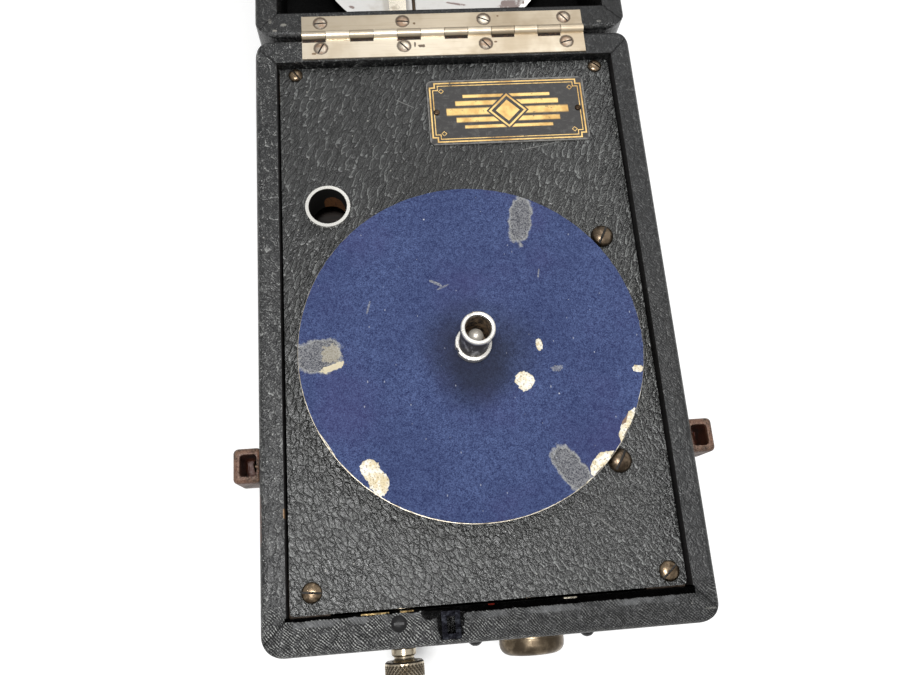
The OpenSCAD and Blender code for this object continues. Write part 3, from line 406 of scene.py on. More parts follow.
def makePatchGroup():
    # ragged oval patch in plan, with a fringe round it
    group, given, result = newGroup("raggedPatch", {"Vector": None, "Centre": None, "Half": (0.005, 0.005, 1),
                                    "Angle": 0, "Ragged": 0.5, "Grain": 150}, ("Mask", "Fringe"))
    power = 2.8
    turnedIn = firstOutput(given["Vector"], "ShaderNodeVectorRotate", {"Vector": given["Vector"] - given["Centre"],
                           "Angle": given["Angle"]}, rotation_type="Z_AXIS")
    x, y, _ = axesOf(abs(turnedIn / given["Half"]))
    share = (x ** power + y ** power) ** (1 / power)
    reach = (noise(given["Vector"], given["Grain"], 4, 0.6) - 0.5) * given["Ragged"] + share
    feed(result, "Mask", fade(reach, 0.92, 1))
    feed(result, "Fringe", ramp(reach, 0.8, 0.98) * fade(reach, 0.98, 1.14))
    return group


def makeSpeckGroup():
    # scattered specks of lint or dust, each in its own cell
    group, given, result = newGroup("scatteredSpecks", {"Vector": None, "Scale": 300, "Share": 0.1, "Size": 0.15},
                                    ("Mask",))
    cell = cellsOf(given["Vector"], given["Scale"])
    chosen = node(given["Vector"], "ShaderNodeSeparateColor", {0: cell["Color"]}).outputs
    near = cell["Distance"] < Value(chosen[1]) * given["Size"]
    feed(result, "Mask", near * (Value(chosen[0]) < given["Share"]))
    return group


def makeTarnishGroup():
    # soft blotches and hard pits in plated metal
    group, given, result = newGroup("platingTarnish", {"Vector": None, "Scale": 120, "Amount": 0.5},
                                    ("Blotch", "Pit"))
    edge = 0.75 - given["Amount"] * 0.4
    feed(result, "Blotch", ramp(noise(given["Vector"], given["Scale"], 6, 0.65), edge, edge + 0.22))
    feed(result, "Pit", ramp(noise(given["Vector"], given["Scale"] * 9, 3, 0.7), 0.62, 0.7))
    return group


def makeScratchGroup():
    # thin scratches, long one way
    group, given, result = newGroup("fineScratches", {"Vector": None, "Stretch": (1, 0.05, 1), "Scale": 900},
                                    ("Mask",))
    feed(result, "Mask", ramp(noise(given["Vector"] * given["Stretch"], given["Scale"], 2, 0.6), 0.6, 0.78))
    return group


crinkle = makeCrinkleGroup()
cloth = makeClothGroup()
boxWear = makeBoxWearGroup()
patch = makePatchGroup()
specks = makeSpeckGroup()
tarnish = makeTarnishGroup()
scratches = makeScratchGroup()


def spotOn(where, centre, half, angle, ragged, grain):
    return useGroup(patch, where, Centre=(*centre, 0), Half=(*half, 1), Angle=angle, Ragged=ragged, Grain=grain)


print("shared effects ready")


# camera, floor and light

cameraValues = dict(
    place=(-0.03814, -0.26851, 0.44946), lens=31.441, right=(0.99553, -0.07615, 0.05582),
    down=(-0.05746, -0.95775, -0.28181), forward=(0.07492, 0.27735, -0.95784))


def addCamera(values):
    data = bpy.data.cameras.new("studioCamera")
    data.lens = values["lens"]
    data.sensor_width = 36
    data.clip_start = 0.01
    camera = bpy.data.objects.new("studioCamera", data)
    right, down, forward = (Vector(values[k]) for k in ("right", "down", "forward"))
    turn = Matrix((right, -down, -forward)).transposed()
    camera.matrix_world = Matrix.Translation(values["place"]) @ turn.to_4x4()
    scene.collection.objects.link(camera)
    scene.camera = camera


floorValues = dict(half=3, seen=(0.985, 0.985, 0.98, 1), lit=(0.78, 0.78, 0.775, 1), glow=(0.16, 0.16, 0.16, 1))


def addFloor(values):
    clearSelection()
    bpy.ops.mesh.primitive_plane_add(size=2 * values["half"], location=(0, 0, 0))
    floor = bpy.context.object
    floor.name = "studioFloor"
    material, shader, where = newMaterial("paleFloor")
    rays = outputsOf(node(where, "ShaderNodeLightPath", {}))
    direct = larger(rays["Is Camera Ray"], larger(rays["Is Glossy Ray"], rays["Is Transmission Ray"]))
    marks = ramp(noise(where, 14, 6, 0.7), 0.62, 0.78, 0, 0.05)
    seen = mix(marks, values["seen"], (0.6, 0.6, 0.6, 1))
    glow = mix(direct, (0, 0, 0, 1), values["glow"])
    feed(shader, "Emission Color", glow)
    feed(shader, "Emission Strength", 1)
    coat(shader, mix(direct, values["lit"], seen), 0.6, specular=0.2)
    floor.data.materials.append(material)


lampValues = dict(
    key=dict(place=(-0.13, -0.36, 1.5), aim=(-0.02, -0.2, 0.08), size=0.28, power=15),
    fill=dict(place=(1.3, 0.2, 1.3), aim=(0, -0.1, 0.05), size=1.4, power=2),
    back=dict(place=(0.42, 1.05, 1.6), aim=(0.03, 0, 0.08), size=0.9, power=4))
worldValues = dict(lit=0.36, seen=0.85, mirrored=0.56)


def addLamps():
    for name, values in lampValues.items():
        data = bpy.data.lights.new(name + "Lamp", "AREA")
        data.size = values["size"]
        data.energy = values["power"]
        lamp = bpy.data.objects.new(name + "Lamp", data)
        lamp.location = values["place"]
        aim = Vector(values["aim"]) - Vector(values["place"])
        lamp.rotation_euler = aim.to_track_quat("-Z", "Y").to_euler()
        scene.collection.objects.link(lamp)
    world = bpy.data.worlds.new("studioWorld")
    world.use_nodes = True
    background = world.node_tree.nodes["Background"]
    feed(background, "Color", (1, 1, 1, 1))
    rays = outputsOf(world.node_tree.nodes.new("ShaderNodeLightPath"))
    direct = larger(rays["Is Camera Ray"], rays["Is Transmission Ray"])
    strength = direct * (worldValues["seen"] - worldValues["lit"]) + worldValues["lit"]
    strength = rays["Is Glossy Ray"] * (worldValues["mirrored"] - worldValues["lit"]) + strength
    feed(background, "Strength", strength)
    scene.world = world


addCamera(cameraValues)
addFloor(floorValues)
addLamps()
print("camera, floor and light placed")


# coverings of the case, the board and the lid

caseCoverValues = dict(
    centre=(0, -0.1477, 0.0461), half=(0.1011, 0.1538, 0.0421), wellX=0.09, wellY=(-0.2861, -0.0085),
    floor=0.0095, inside=(0.01, 0.009, 0.009, 1), shade=0, lipShadow=(-0.2861, -0.03, -0.004, 0.0008, 0.0026),
    glossy=[
        ((-0.0195, -0.2925), (0.0062, 0.0072)), ((-0.027, -0.2882), (0.0055, 0.0022)),
        ((-0.013, -0.2875), (0.004, 0.0016))],
    scuffsAndGlints=[
        # the brass-coloured marks at x -0.052 and -0.038 and the pale one at x 0.034 are painted glints of metal in
        # the front gap; the others are scuffs and stains
        ((-0.052, -0.2862), (0.0062, 0.0005), rgb(196, 170, 120)),
        ((-0.038, -0.2862), (0.003, 0.0005), rgb(176, 150, 104)),
        ((-0.001, -0.2862), (0.0016, 0.0004), rgb(136, 44, 34)),
        ((0.034, -0.2862), (0.003, 0.0004), rgb(206, 198, 180)),
        ((-0.0897, -0.241), (0.0008, 0.0022), rgb(150, 112, 66)),
        ((0.0965, -0.2955), (0.003, 0.0005), rgb(120, 119, 115)),
        ((-0.1008, -0.244), (0.0008, 0.012), rgb(92, 56, 40))])
# the lid's covering is the case's cloth darkened by painted shade
lidCoverValues = dict(
    centre=(0, 0.1627, 0.0636), half=(0.1011, 0.1538, 0.0246), wellX=0.0893, wellY=(0.0225, 0.302), floor=0.0445,
    inside=(0.008, 0.008, 0.008, 1), shade=0.55, glossy=[],
    scuffsAndGlints=[
        ((-0.086, 0.0155), (0.0016, 0.0009), rgb(140, 138, 130)),
        ((-0.093, 0.018), (0.0009, 0.0015), rgb(120, 118, 112)),
        ((-0.0905, 0.012), (0.0012, 0.0006), rgb(150, 146, 138)),
        ((0.086, 0.0125), (0.0014, 0.0007), rgb(130, 128, 122))])


def makeCaseCover(name, values):
    # coated cloth: diagonal grain in front, scaly creases at the sides, worn edges, black inside the well; painted
    # shade in the grooves and creases, painted sheen on the threads and ridges, a painted shadow along the front
    # lip, painted glints among the scuffs, and an overall painted shade for the lid's copy
    tones = dict(
        base=rgb(25, 26, 27), light=rgb(66, 67, 68), worn=rgb(128, 124, 116), thread=rgb(196, 197, 194),
        fold=rgb(104, 105, 106), deep=rgb(6, 6, 6), dust=rgb(176, 174, 168))
    material, shader, where = newMaterial(name)
    x, y, z = axesOf(where)
    folds = useGroup(crinkle, where, Cells=360, Stretch=(1, 0.42, 0.6), Waver=0.005, Tilt=0.4)
    grain = useGroup(cloth, where, Pitch=0.00105)
    outer = fade(z, 0.0835, 0.0875)
    front = ramp(y, -0.29, -0.276, 1, 0.12) * ramp(outer, 0, 1, 1, 0.3)
    calm = ramp(outer, 0, 1, 1, 0.35)
    slow = noise(where, 55, 4, 0.6)
    middle = noise(where, 260, 3, 0.6)
    fine = noise(where, 1300, 3, 0.75)
    weave = (grain["Height"] - 0.5) * front
    creased = folds["Height"] * (1.1 - front)
    height = (slow * 1.6 + middle * 0.9) * calm + (weave * 1.6 + creased * 0.7) + fine * 0.5
    wear = useGroup(boxWear, where, Centre=values["centre"], Half=values["half"], Width=0.0016, Ragged=0.0035)
    lift = ramp(fine, 0.5, 0.72) * ramp(slow, 0.35, 0.65, 0.3, 1)
    base = mix(lift, tones["base"], tones["light"])
    # painted sheen: the grain's raised threads and the scale ridges get a pale colour, most to the left and on the
    # outer walls
    sheenShare = larger(ramp(x, -0.06, 0.05, 1, 0.3), outer * 0.7)
    sheenShare = sheenShare * ramp(middle, 0.36, 0.6, 0.25, 1)
    threads = ramp((fine - 0.5) * 1.2 + weave, 0.05, 0.27) * sheenShare
    base = mix(threads * 0.85, base, tones["thread"])
    # painted shade in the grooves of the grain
    base = mix(ramp(weave, -0.03, -0.25) * 0.9, base, tones["deep"])
    ridgeSheen = folds["RidgeHighlight"] * (sheenShare * (1 - front))
    base = mix(ridgeSheen * 0.5, base, tones["thread"])
    # painted shade in the creases between the scales
    paintedCreases = folds["CreaseShade"] * (1.1 - front)
    base = mix(paintedCreases * 0.7, base, tones["deep"])
    worn = wear["Mask"] * ramp(noise(where, 480), 0.45, 0.6)
    base = mix(worn * 0.4, base, tones["worn"])
    dust = useGroup(specks, where, Scale=420, Share=0.04, Size=0.2)
    base = mix(dust["Mask"] * ramp(outer, 0, 1, 0.5, 0.2), base, tones["dust"])
    awayX = abs(x)
    inX = awayX < values["wellX"]
    near, far = values["wellY"]
    halfWell = (far - near) / 2
    fromMiddle = abs(y - (near + far) / 2)
    inside = inX * (fromMiddle < halfWell) * (z > values["floor"])
    past = (middle - 0.5) * 0.004 + (awayX - values["wellX"] - (fromMiddle - halfWell))
    corner = (awayX > values["wellX"] - 0.0015) * (fromMiddle > halfWell - 0.0015)
    fold = fade(abs(past), 0.0001, 0.0008) * corner
    height = height + fold * -1.6 + (past > 0) * 0.5
    base = mix(fold * 0.8, base, tones["deep"])
    # painted shade: darkens the whole covering by the given share, which the lid's copy uses
    base = mix(values["shade"], base, tones["deep"])
    base = mix(inside, base, values["inside"])
    shine, black = worn * 0.2, inside
    if "lipShadow" in values:
        # painted shadow: a near-black band along the inner edge of the front rim, where the gap to the board lies
        # in shade, with a lighter grey band beside it
        start, left, right, thin, wide = values["lipShadow"]
        reach = start - ramp(x, left, right, thin, wide)
        reach = (middle - 0.5) * 0.0016 + reach
        lipShadow = (y > reach) * (y < start + 0.0008)
        soft = ramp(reach - y, 0, 0.0006) * fade(reach - y, 0.0022, 0.0034)
        soft = soft * ramp(slow, 0.44, 0.58, 0.1, 0.8)
        along = (abs(x) < 0.087) * (z > 0.08)
        base = mix(soft * along, base, tones["fold"])
        black = lipShadow * (abs(x) < 0.0905)
        base = mix(black, base, (0.001, 0.001, 0.001, 1))
    for centre, half in values["glossy"]:
        spot = spotOn(where, centre, half, 0, 0.9, 300)
        base = mix(spot["Mask"], base, tones["deep"])
        black = larger(black, spot["Mask"] * 0.8)
        shine = spot["Mask"] * -0.1 + shine
    for centre, half, tone in values["scuffsAndGlints"]:
        spot = spotOn(where, centre, half, 0, 1.1, 420)
        shared = ramp(fine, 0.35, 0.55, 0.2, 0.85) * fade(outer, 0.4, 1)
        base = mix(spot["Mask"] * shared, base, tone)
    coat(shader, base, ramp(slow, 0.3, 0.7, 0.27, 0.4) + shine + inside * 0.3, black)
    addBump(shader, height, 1, 0.0004)
    return material


boardValues = dict(
    scratches=[
        ((0.0475, -0.06), (0.013, 0.0003), -0.2), ((0.04, -0.017), (0.0003, 0.006), 0.5),
        ((0.044, -0.0165), (0.0003, 0.0055), 0.2), ((-0.024, -0.032), (0.006, 0.0003), 0.5),
        ((-0.061, -0.112), (0.0003, 0.007), 0.7), ((0.056, -0.256), (0.007, 0.0003), 0.7)],
    bend=0.205, round=0.0012, lean=(-0.5, -0.36), squeeze=1.22)


def makeBoardCover(values):
    # embossed coating: long curved scales, each with a painted highlight on its ridge and painted shade in its
    # crease, finely grained, with painted sparkle, glints and sheen that grow towards the front and the right
    tones = dict(
        base=rgb(24, 25, 25), highlightTone=rgb(130, 132, 130), creaseShadeTone=rgb(6, 6, 6), grain=rgb(112, 113, 111),
        dust=rgb(190, 188, 180), scratch=rgb(140, 140, 137), glint=rgb(196, 197, 194))
    material, shader, where = newMaterial("boardCovering")
    x, y, z = axesOf(where)
    turnBack = y + values["bend"]
    reach = maths("SQRT", turnBack * turnBack + values["round"])
    leanX, leanY = values["lean"]
    leaned = vectorOf(reach * leanX + x, reach * leanY + y * values["squeeze"], z)
    folds = useGroup(crinkle, leaned, Cells=390, Stretch=(1, 0.36, 1), Waver=0.0027, Tilt=0.75)
    mottle = noise(where, 26, 5, 0.6)
    fine = noise(where, 1250, 3, 0.75)
    middle = noise(where, 330, 3, 0.6)
    # painted sheen, brighter towards the front and the right
    rubbedAndSheen = larger(ramp(y, -0.285, -0.13, 1, 0.3), ramp(x, -0.01, 0.08, 0.2, 1))
    height = folds["Height"] + fine * 0.4 + middle * 0.45
    # painted sparkle: fine pale dots, most where the painted sheen is
    base = mix(ramp(fine, 0.54, 0.66) * rubbedAndSheen, tones["base"], tones["grain"])
    # painted highlight on the scale ridges; painted shade in the creases below
    ridgeSheen = folds["RidgeHighlight"] * (ramp(mottle, 0.35, 0.6, 0.35, 1) * (rubbedAndSheen * 0.3 + 0.6))
    base = mix(ridgeSheen, base, tones["highlightTone"])
    base = mix(folds["CreaseShade"], base, tones["creaseShadeTone"])
    # painted glints
    glint = ramp(noise(where, 2300, 2, 0.7), 0.58, 0.66) * rubbedAndSheen
    base = mix(glint * 0.55, base, tones["glint"])
    for centre, half, angle in values["scratches"]:
        mark = spotOn(where, centre, half, angle, 1.2, 500)
        base = mix(mark["Mask"] * 0.5, base, tones["scratch"])
    dust = useGroup(specks, where, Scale=480, Share=0.06, Size=0.22)
    base = mix(dust["Mask"] * 0.5, base, tones["dust"])
    coat(shader, base, ramp(mottle, 0.3, 0.7, 0.22, 0.3), specular=0.6)
    addBump(shader, height, 1, 0.00044)
    return material


dressNodes(makeCaseCover("caseCovering", caseCoverValues), "case_walls", "case_bottom")
dressNodes(makeCaseCover("lidCovering", lidCoverValues), "lid_walls", "lid_panel")
dressNodes(makeBoardCover(boardValues), "motor_board")
print("coverings ready")


# plated, tarnished and painted metals

def metalFinish(name, values):
    # base metal, soft tarnish, dark spots, brushing or fine scratches
    material, shader, where = newMaterial(name)
    marks = useGroup(tarnish, where, Scale=values.get("scale", 160), Amount=values.get("tarnished", 0.5))
    base = mix(marks["Blotch"] * values.get("cover", 0.7), values["metal"], values["tarnish"])
    patchy = noise(where, values.get("rustScale", 320), 5, 0.7)
    edge = values.get("rustFrom", 0.66)
    rustyAndLit = ramp(patchy, edge, edge + 0.05)
    for centre, half in values.get("spots", ()):
        spot = spotOn(where, centre, half, 0.3, 1.2, 260)
        rustyAndLit = larger(rustyAndLit, spot["Mask"] * ramp(patchy, 0.36, 0.46))
    base = mix(rustyAndLit * values.get("rustCover", 0.8), base, values.get("rustAndLitPatch", rgb(70, 42, 24)))
    lines = useGroup(scratches, where, Stretch=values.get("brush", (0.08, 1, 1)),
                     Scale=values.get("brushScale", 2200))
    base = mix(lines["Mask"] * values.get("brushCover", 0.15), base, values.get("line", values["tarnish"]))
    low, high = values.get("rough", (0.22, 0.4))
    rough = marks["Blotch"] * (high - low) + low + rustyAndLit * 0.3 + lines["Mask"] * 0.12
    solid = maths("SUBTRACT", values.get("metallic", 1), rustyAndLit * 0.7, clamp=True)
    coat(shader, base, rough, solid, specular=values.get("specular", 0.5))
    height = rustyAndLit * 0.5 + marks["Pit"] * -0.3 + lines["Mask"] * -0.25 + noise(where, 240) * 0.6
    addBump(shader, height, values.get("relief", 0.3), 0.00015)
    return material


metalFinishes = dict(
    hingePinSteel=dict(
        nodes=("hinge_pin",), metal=rgb(170, 158, 136), tarnish=rgb(86, 70, 50), tarnished=0.9, rustFrom=0.6,
        rough=(0.35, 0.5)),
    spindleNickel=dict(
        nodes=("spindle",), metal=rgb(238, 232, 220), tarnish=rgb(168, 152, 130), tarnished=0.5, scale=260,
        rustFrom=0.72, rough=(0.38, 0.5), relief=0.3, metallic=0.55),
    bowlNickel=dict(
        nodes=("sound_reflector",), metal=rgb(252, 250, 246), tarnish=rgb(222, 214, 202), tarnished=0.5, scale=40,
        rustFrom=0.66, rustScale=110, rustAndLitPatch=rgb(96, 58, 48), rough=(0.1, 0.22), relief=0.12, metallic=0.5,
        spots=[
            ((0.0455, 0.05), (0.0075, 0.0042)), ((0.0125, 0.057), (0.006, 0.0009)),
            ((-0.05, 0.05), (0.0016, 0.0012)), ((0.027, 0.061), (0.003, 0.002))]),
    strapNickel=dict(
        nodes=("reflector_strap", "reflector_rivets", "lid_hook"), metal=rgb(216, 208, 192),
        tarnish=rgb(128, 112, 90), tarnished=0.6, scale=120, rustFrom=0.69, rough=(0.24, 0.4)),
    wireSteel=dict(
        nodes=("lid_wire_clip", "strap_loop_rivets"), metal=rgb(92, 78, 64), tarnish=rgb(60, 50, 42), tarnished=0.9,
        rustFrom=0.62, rough=(0.3, 0.5)),
    pinBronze=dict(
        nodes=(), metal=rgb(112, 92, 72), tarnish=rgb(44, 34, 27), tarnished=0.95, scale=260, cover=0.9,
        rustFrom=0.62, rough=(0.26, 0.44), relief=0.4),
    knobNickel=dict(
        nodes=("speed_knob", "speed_bush"), metal=rgb(196, 182, 158), tarnish=rgb(78, 64, 46), tarnished=0.85,
        scale=230, rustFrom=0.68, rough=(0.22, 0.4), relief=0.3),
    drumNickel=dict(
        nodes=(), metal=rgb(132, 118, 98), tarnish=rgb(44, 35, 27), tarnished=1, scale=110, rustFrom=0.64,
        rough=(0.3, 0.45), relief=0.3),
    catchEnamel=dict(
        nodes=("catch_plate",), metal=rgb(3, 3, 4), tarnish=rgb(20, 21, 24), tarnished=0.7, scale=420,
        rustFrom=0.8, rough=(0.2, 0.3), relief=1, brushCover=0),
    blackSteel=dict(
        nodes=("bush_lock_screw", "escutcheon_screws"), metal=rgb(26, 26, 27), tarnish=rgb(40, 38, 36),
        tarnished=0.5, rustFrom=0.74, rough=(0.42, 0.6), metallic=0, specular=0.25, line=rgb(96, 94, 90),
        brushCover=0.3),
    grilleEnamel=dict(
        nodes=("sound_grille",), metal=rgb(104, 98, 88), tarnish=rgb(48, 44, 40), tarnished=0.8, rustFrom=0.66,
        rough=(0.3, 0.5), metallic=0.8, brush=(1, 0.06, 1)),
    plateSteel=dict(
        nodes=("turntable_plate", "turntable_hub"), metal=rgb(188, 180, 164), tarnish=rgb(104, 88, 66),
        tarnished=0.75, rustFrom=0.66, rough=(0.3, 0.5)),
    frameSteel=dict(
        nodes=(
            "motor_top_plate", "motor_bottom_plate", "motor_pillars", "motor_brackets", "lever_post",
            "winding_shaft", "barrel_arbor", "intermediate_arbor", "governor_shaft", "speed_lever", "push_rod",
            "spring_barrel", "barrel_cover"),
        metal=rgb(176, 176, 178), tarnish=rgb(112, 104, 94), tarnished=0.6, rustFrom=0.69, rough=(0.28, 0.45)),
    clockBrass=dict(
        nodes=("governor_wheel", "winding_wheel", "intermediate_wheel", "governor_weights", "governor_disc"),
        metal=rgb(208, 178, 112), tarnish=rgb(128, 94, 48), tarnished=0.7, rustFrom=0.74, rough=(0.24, 0.42)),
    springSteel=dict(
        nodes=("mainspring", "governor_springs", "winding_brake_spring"), metal=rgb(124, 134, 154),
        tarnish=rgb(70, 72, 84), tarnished=0.6, rustFrom=0.72, rough=(0.22, 0.4)))
metals = {}
for finishName, finish in metalFinishes.items():
    metals[finishName] = metalFinish(finishName, finish)
    dressNodes(metals[finishName], *finish["nodes"])
print("metals ready")


# wood and rubber

def makeWood(name, values):
    material, shader, where = newMaterial(name)
    long = where * values["along"]
    rings = noise(long, 160, 4, 0.6, 1.5)
    pores = noise(long, 1300, 2, 0.6)
    base = mix(ramp(rings, 0.35, 0.65), values["light"], values["dark"])
    base = mix(ramp(pores, 0.55, 0.7, 0, 0.6), base, values["pore"])
    # a listed patch in a lighter brown; for the partition it is a painted pool of light
    if "bare" in values:
        centre, half, tone = values["bare"]
        spot = spotOn(where, centre, half, 0.5, 0.25, 200)
        base = mix(spot["Mask"], base, mix(ramp(pores, 0.4, 0.6), tone, values["pore"]))
    coat(shader, base, ramp(rings, 0.3, 0.7, 0.5, 0.7))
    addBump(shader, pores, 0.3, 0.0002)
    return material


woods = dict(
    softwood=dict(
        nodes=("corner_blocks",), along=(1, 1, 0.06), light=rgb(86, 66, 46), dark=rgb(58, 42, 28),
        pore=rgb(36, 24, 16)),
    # painted shade: the partition and baffle get dark tones for brown wood in shade, and their brown bare patch is
    # a painted pool of light
    woodInPaintedShade=dict(
        nodes=("sound_partition", "sound_baffle"), along=(0.06, 1, 1), light=rgb(30, 20, 12),
        dark=rgb(18, 12, 8), pore=rgb(12, 8, 6), bare=((-0.0625, -0.07), (0.0062, 0.0042), rgb(150, 98, 52))))
for woodName, wood in woods.items():
    dressNodes(makeWood(woodName, wood), *wood["nodes"])


def makeRubber():
    material, shader, where = newMaterial("footRubber")
    dusty = noise(where, 300, 5, 0.7)
    coat(shader, mix(ramp(dusty, 0.45, 0.7), rgb(38, 37, 36), rgb(92, 88, 82)), ramp(dusty, 0.4, 0.7, 0.6, 0.8))
    addBump(shader, dusty, 0.4, 0.0003)
    return material


dressNodes(makeRubber(), "feet")
print("wood and rubber ready")


# felt of the turntable: worn, glued and torn patches, cut out where the card under it shows

feltValues = dict(
    centre=(0, -170.5), radius=81.5, low=94, card=94.45, top=95,
    bare=[
        ((-51, -225.2), (4.6, 4.8), 0, 3), ((-47.2, -231.2), (4.4, 6.6), 14, 12),
        ((23, -188.6), (4.6, 5), 0, 5), ((31.4, -171.6), (1.8, 2.8), 0, 8), ((77.2, -186.2), (2.8, 1.8), 0, 2),
        ((69.3, -213), (9.5, 3.6), 58, 7), ((54.2, -229.4), (7.2, 4), 42, 9),
        ((-70.6, -213.2), (21, 1.7), -59, 4), ((-30, -247), (17, 0.8), -21, 6)],
    oilAndShade=((0.002, -0.174, 0), 0.008, 0.034), brown=((0.0672, -0.208), (0.002, 0.004), 0.3),
    glued=[
        ((0.0289, -0.1075), (0.0052, 0.0122), 0.2), ((-0.0718, -0.1713), (0.0104, 0.0076), -0.05),
        ((0.0402, -0.2312), (0.0056, 0.0118), -0.55)],
    marks=[
        ((-0.0655, -0.177), (0.006, 0.0015), -0.3, "cream", 0.9),
        ((-0.066, -0.1705), (0.0042, 0.0045), 0, "cream", 0.32),
        ((0.0387, -0.1838), (0.0026, 0.0016), 0, "fringe", 0.4),
        ((-0.0155, -0.1382), (0.0036, 0.0007), 0.5, "fringe", 0.5),
        ((-0.012, -0.1405), (0.003, 0.0005), -0.4, "fringe", 0.4),
        ((-0.048, -0.149), (0.0005, 0.0034), 0.3, "fringe", 0.4),
        ((0.035, -0.136), (0.0004, 0.0026), 0.2, "fringe", 0.45)])


def raggedDisc(name, centre, half, angle, seed, low, high, rough=0.22, points=11, torn=2.2):
    clearSelection()
    bpy.ops.mesh.primitive_circle_add(vertices=points, radius=1, fill_type="NGON")
    piece = bpy.context.object
    piece.name = name
    editAll()
    bpy.ops.transform.vertex_random(offset=rough, seed=seed)
    if torn > 0:
        bpy.ops.mesh.select_mode(type="EDGE")
        bpy.ops.mesh.subdivide(number_cuts=3, fractal=torn, fractal_along_normal=0, seed=seed)
        bpy.ops.mesh.select_all(action="SELECT")
    bpy.ops.transform.resize(value=(half[0], half[1], 0), center_override=(0, 0, 0))
    bpy.ops.mesh.extrude_region_move(TRANSFORM_OT_translate={"value": (0, 0, high - low)})
    faceOut()
    piece.rotation_euler = (0, 0, math.radians(angle))
    piece.location = (centre[0], centre[1], low)
    applyPlace()
    return piece


def makeFelt(values):
    felt = raggedDisc("turntable_felt_cloth", values["centre"], (values["radius"] - 0.2,) * 2, 0, 1, values["card"],
                      values["top"], rough=0.0022, points=220, torn=0)
    for centre, half, angle, seed in values["bare"]:
        cutter = raggedDisc("feltCutter", centre, half, angle, seed, values["card"] - 1, values["top"] + 1)
        cutAway(felt, cutter)
    card = raggedDisc("turntable_felt_card", values["centre"], (values["radius"],) * 2, 0, 3, values["low"],
                      values["card"], rough=0.001, points=220, torn=0)
    return settle(felt), settle(card)


def makeFeltMaterial(values):
    tones = dict(
        blue=rgb(38, 46, 85), light=rgb(92, 108, 152), violet=rgb(70, 62, 108), oily=rgb(40, 42, 50),
        grey=rgb(150, 150, 150), fringe=rgb(176, 176, 172), cream=rgb(226, 214, 182), lint=rgb(206, 210, 222),
        edge=rgb(112, 106, 110))
    material, shader, where = newMaterial("turntableFelt")
    fibre = noise(where, 1900, 3, 0.8)
    clump = noise(where, 520, 4, 0.7)
    slow = noise(where, 34, 4, 0.6)
    nap = ramp(fibre, 0.4, 0.64) * 0.72 + ramp(clump, 0.35, 0.7) * 0.3
    nap = nap * ramp(slow, 0.3, 0.7, 0.75, 1.1)
    base = mix(nap, tones["blue"], tones["light"])
    base = mix(ramp(noise(where, 24), 0.45, 0.7, 0, 0.3), base, tones["violet"])
    # dark ring round the post: oil stain with the post's shadow painted in, set off centre to one side
    post, near, far = values["oilAndShade"]
    reach = (slow - 0.5) * 0.02 + lengthOf((where - post) * (1, 1, 0))
    base = mix(ramp(reach, near, far, 0.75, 0), base, tones["oily"])
    height = fibre + clump * 0.8
    glued = None
    for centre, half, angle in values["glued"]:
        spot = spotOn(where, centre, half, angle, 0.8, 240)
        shade = mix(ramp(fibre, 0.36, 0.62), tones["oily"], tones["grey"])
        base = mix(spot["Mask"] * 0.9, base, shade)
        base = mix(spot["Fringe"] * ramp(fibre, 0.35, 0.6, 0.2, 0.85), base, tones["fringe"])
        height = height + spot["Fringe"] * 1.2
        glued = spot["Mask"] if glued is None else larger(glued, spot["Mask"])
    for centre, half, angle, tone, cover in values["marks"]:
        spot = spotOn(where, centre, half, angle, 1.5, 620)
        dotted = ramp(fibre, 0.4, 0.56, 0.1, cover * 1.3) if tone == "fringe" else cover
        base = mix(spot["Mask"] * dotted, base, tones[tone])
    lint = useGroup(specks, where, Scale=210, Share=0.13, Size=0.085)
    base = mix(lint["Mask"] * 0.8, base, tones["lint"])
    fluff = useGroup(specks, where * (1, 0.5, 1), Scale=520, Share=0.12, Size=0.16)
    base = mix(fluff["Mask"] * 0.45, base, tones["lint"])
    x, y, z = axesOf(where)
    base = mix(ramp(z, 0.09475, 0.0945, 0, 0.6), base, tones["edge"])
    coat(shader, base, ramp(glued, 0, 1, 0.95, 0.6), specular=0.15)
    feed(shader, "Sheen Weight", 0.12)
    feed(shader, "Sheen Roughness", 0.5)
    addBump(shader, height, 0.6, 0.0004)
    return material


def makeCardMaterial(values):
    # yellowed card with brown glue, seen where the felt is gone
    material, shader, where = newMaterial("feltCard")
    patchy = noise(where, 260, 5, 0.7)
    base = mix(ramp(patchy, 0.38, 0.62), rgb(255, 252, 240), rgb(226, 210, 172))
    brown = spotOn(where, *values["brown"], 0.8, 300)
    base = mix(brown["Mask"] * 0.85, base, rgb(104, 62, 44))
    base = mix(ramp(noise(where, 1100), 0.54, 0.64, 0, 0.6), base, rgb(122, 98, 68))
    flat = (where - (0, values["centre"][1] / 1000, 0)) * (1, 1, 0)
    x, y, z = axesOf(flat)
    bare = ramp(abs(x), 0.012, 0.026) * fade(y, -0.02, -0.01)
    bare = bare * ramp(noise(where, 210, 3, 0.7), 0.44, 0.5)
    rim = (lengthOf(flat) > 0.0811) * (1 - bare)
    base = mix(rim * 0.92, base, rgb(48, 46, 56))
    coat(shader, base, ramp(patchy, 0.3, 0.7, 0.6, 0.8))
    addBump(shader, patchy, 0.6, 0.0003)
    return material


feltCloth, feltCard = makeFelt(feltValues)
dress(feltCloth, makeFeltMaterial(feltValues), "turntable")
dress(feltCard, makeCardMaterial(feltValues), "turntable")
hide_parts("turntable_felt")
print("felt ready")


# tone arm socket: bright flange, dark bore with a painted pool of light on its wall

socketValues = dict(
    node="tone_arm_socket", centre=(-66, -90.5), bore=9.65, top=85.3,
    rustAndLitPatch=((-63.4, 68), (5.6, 8.2)))


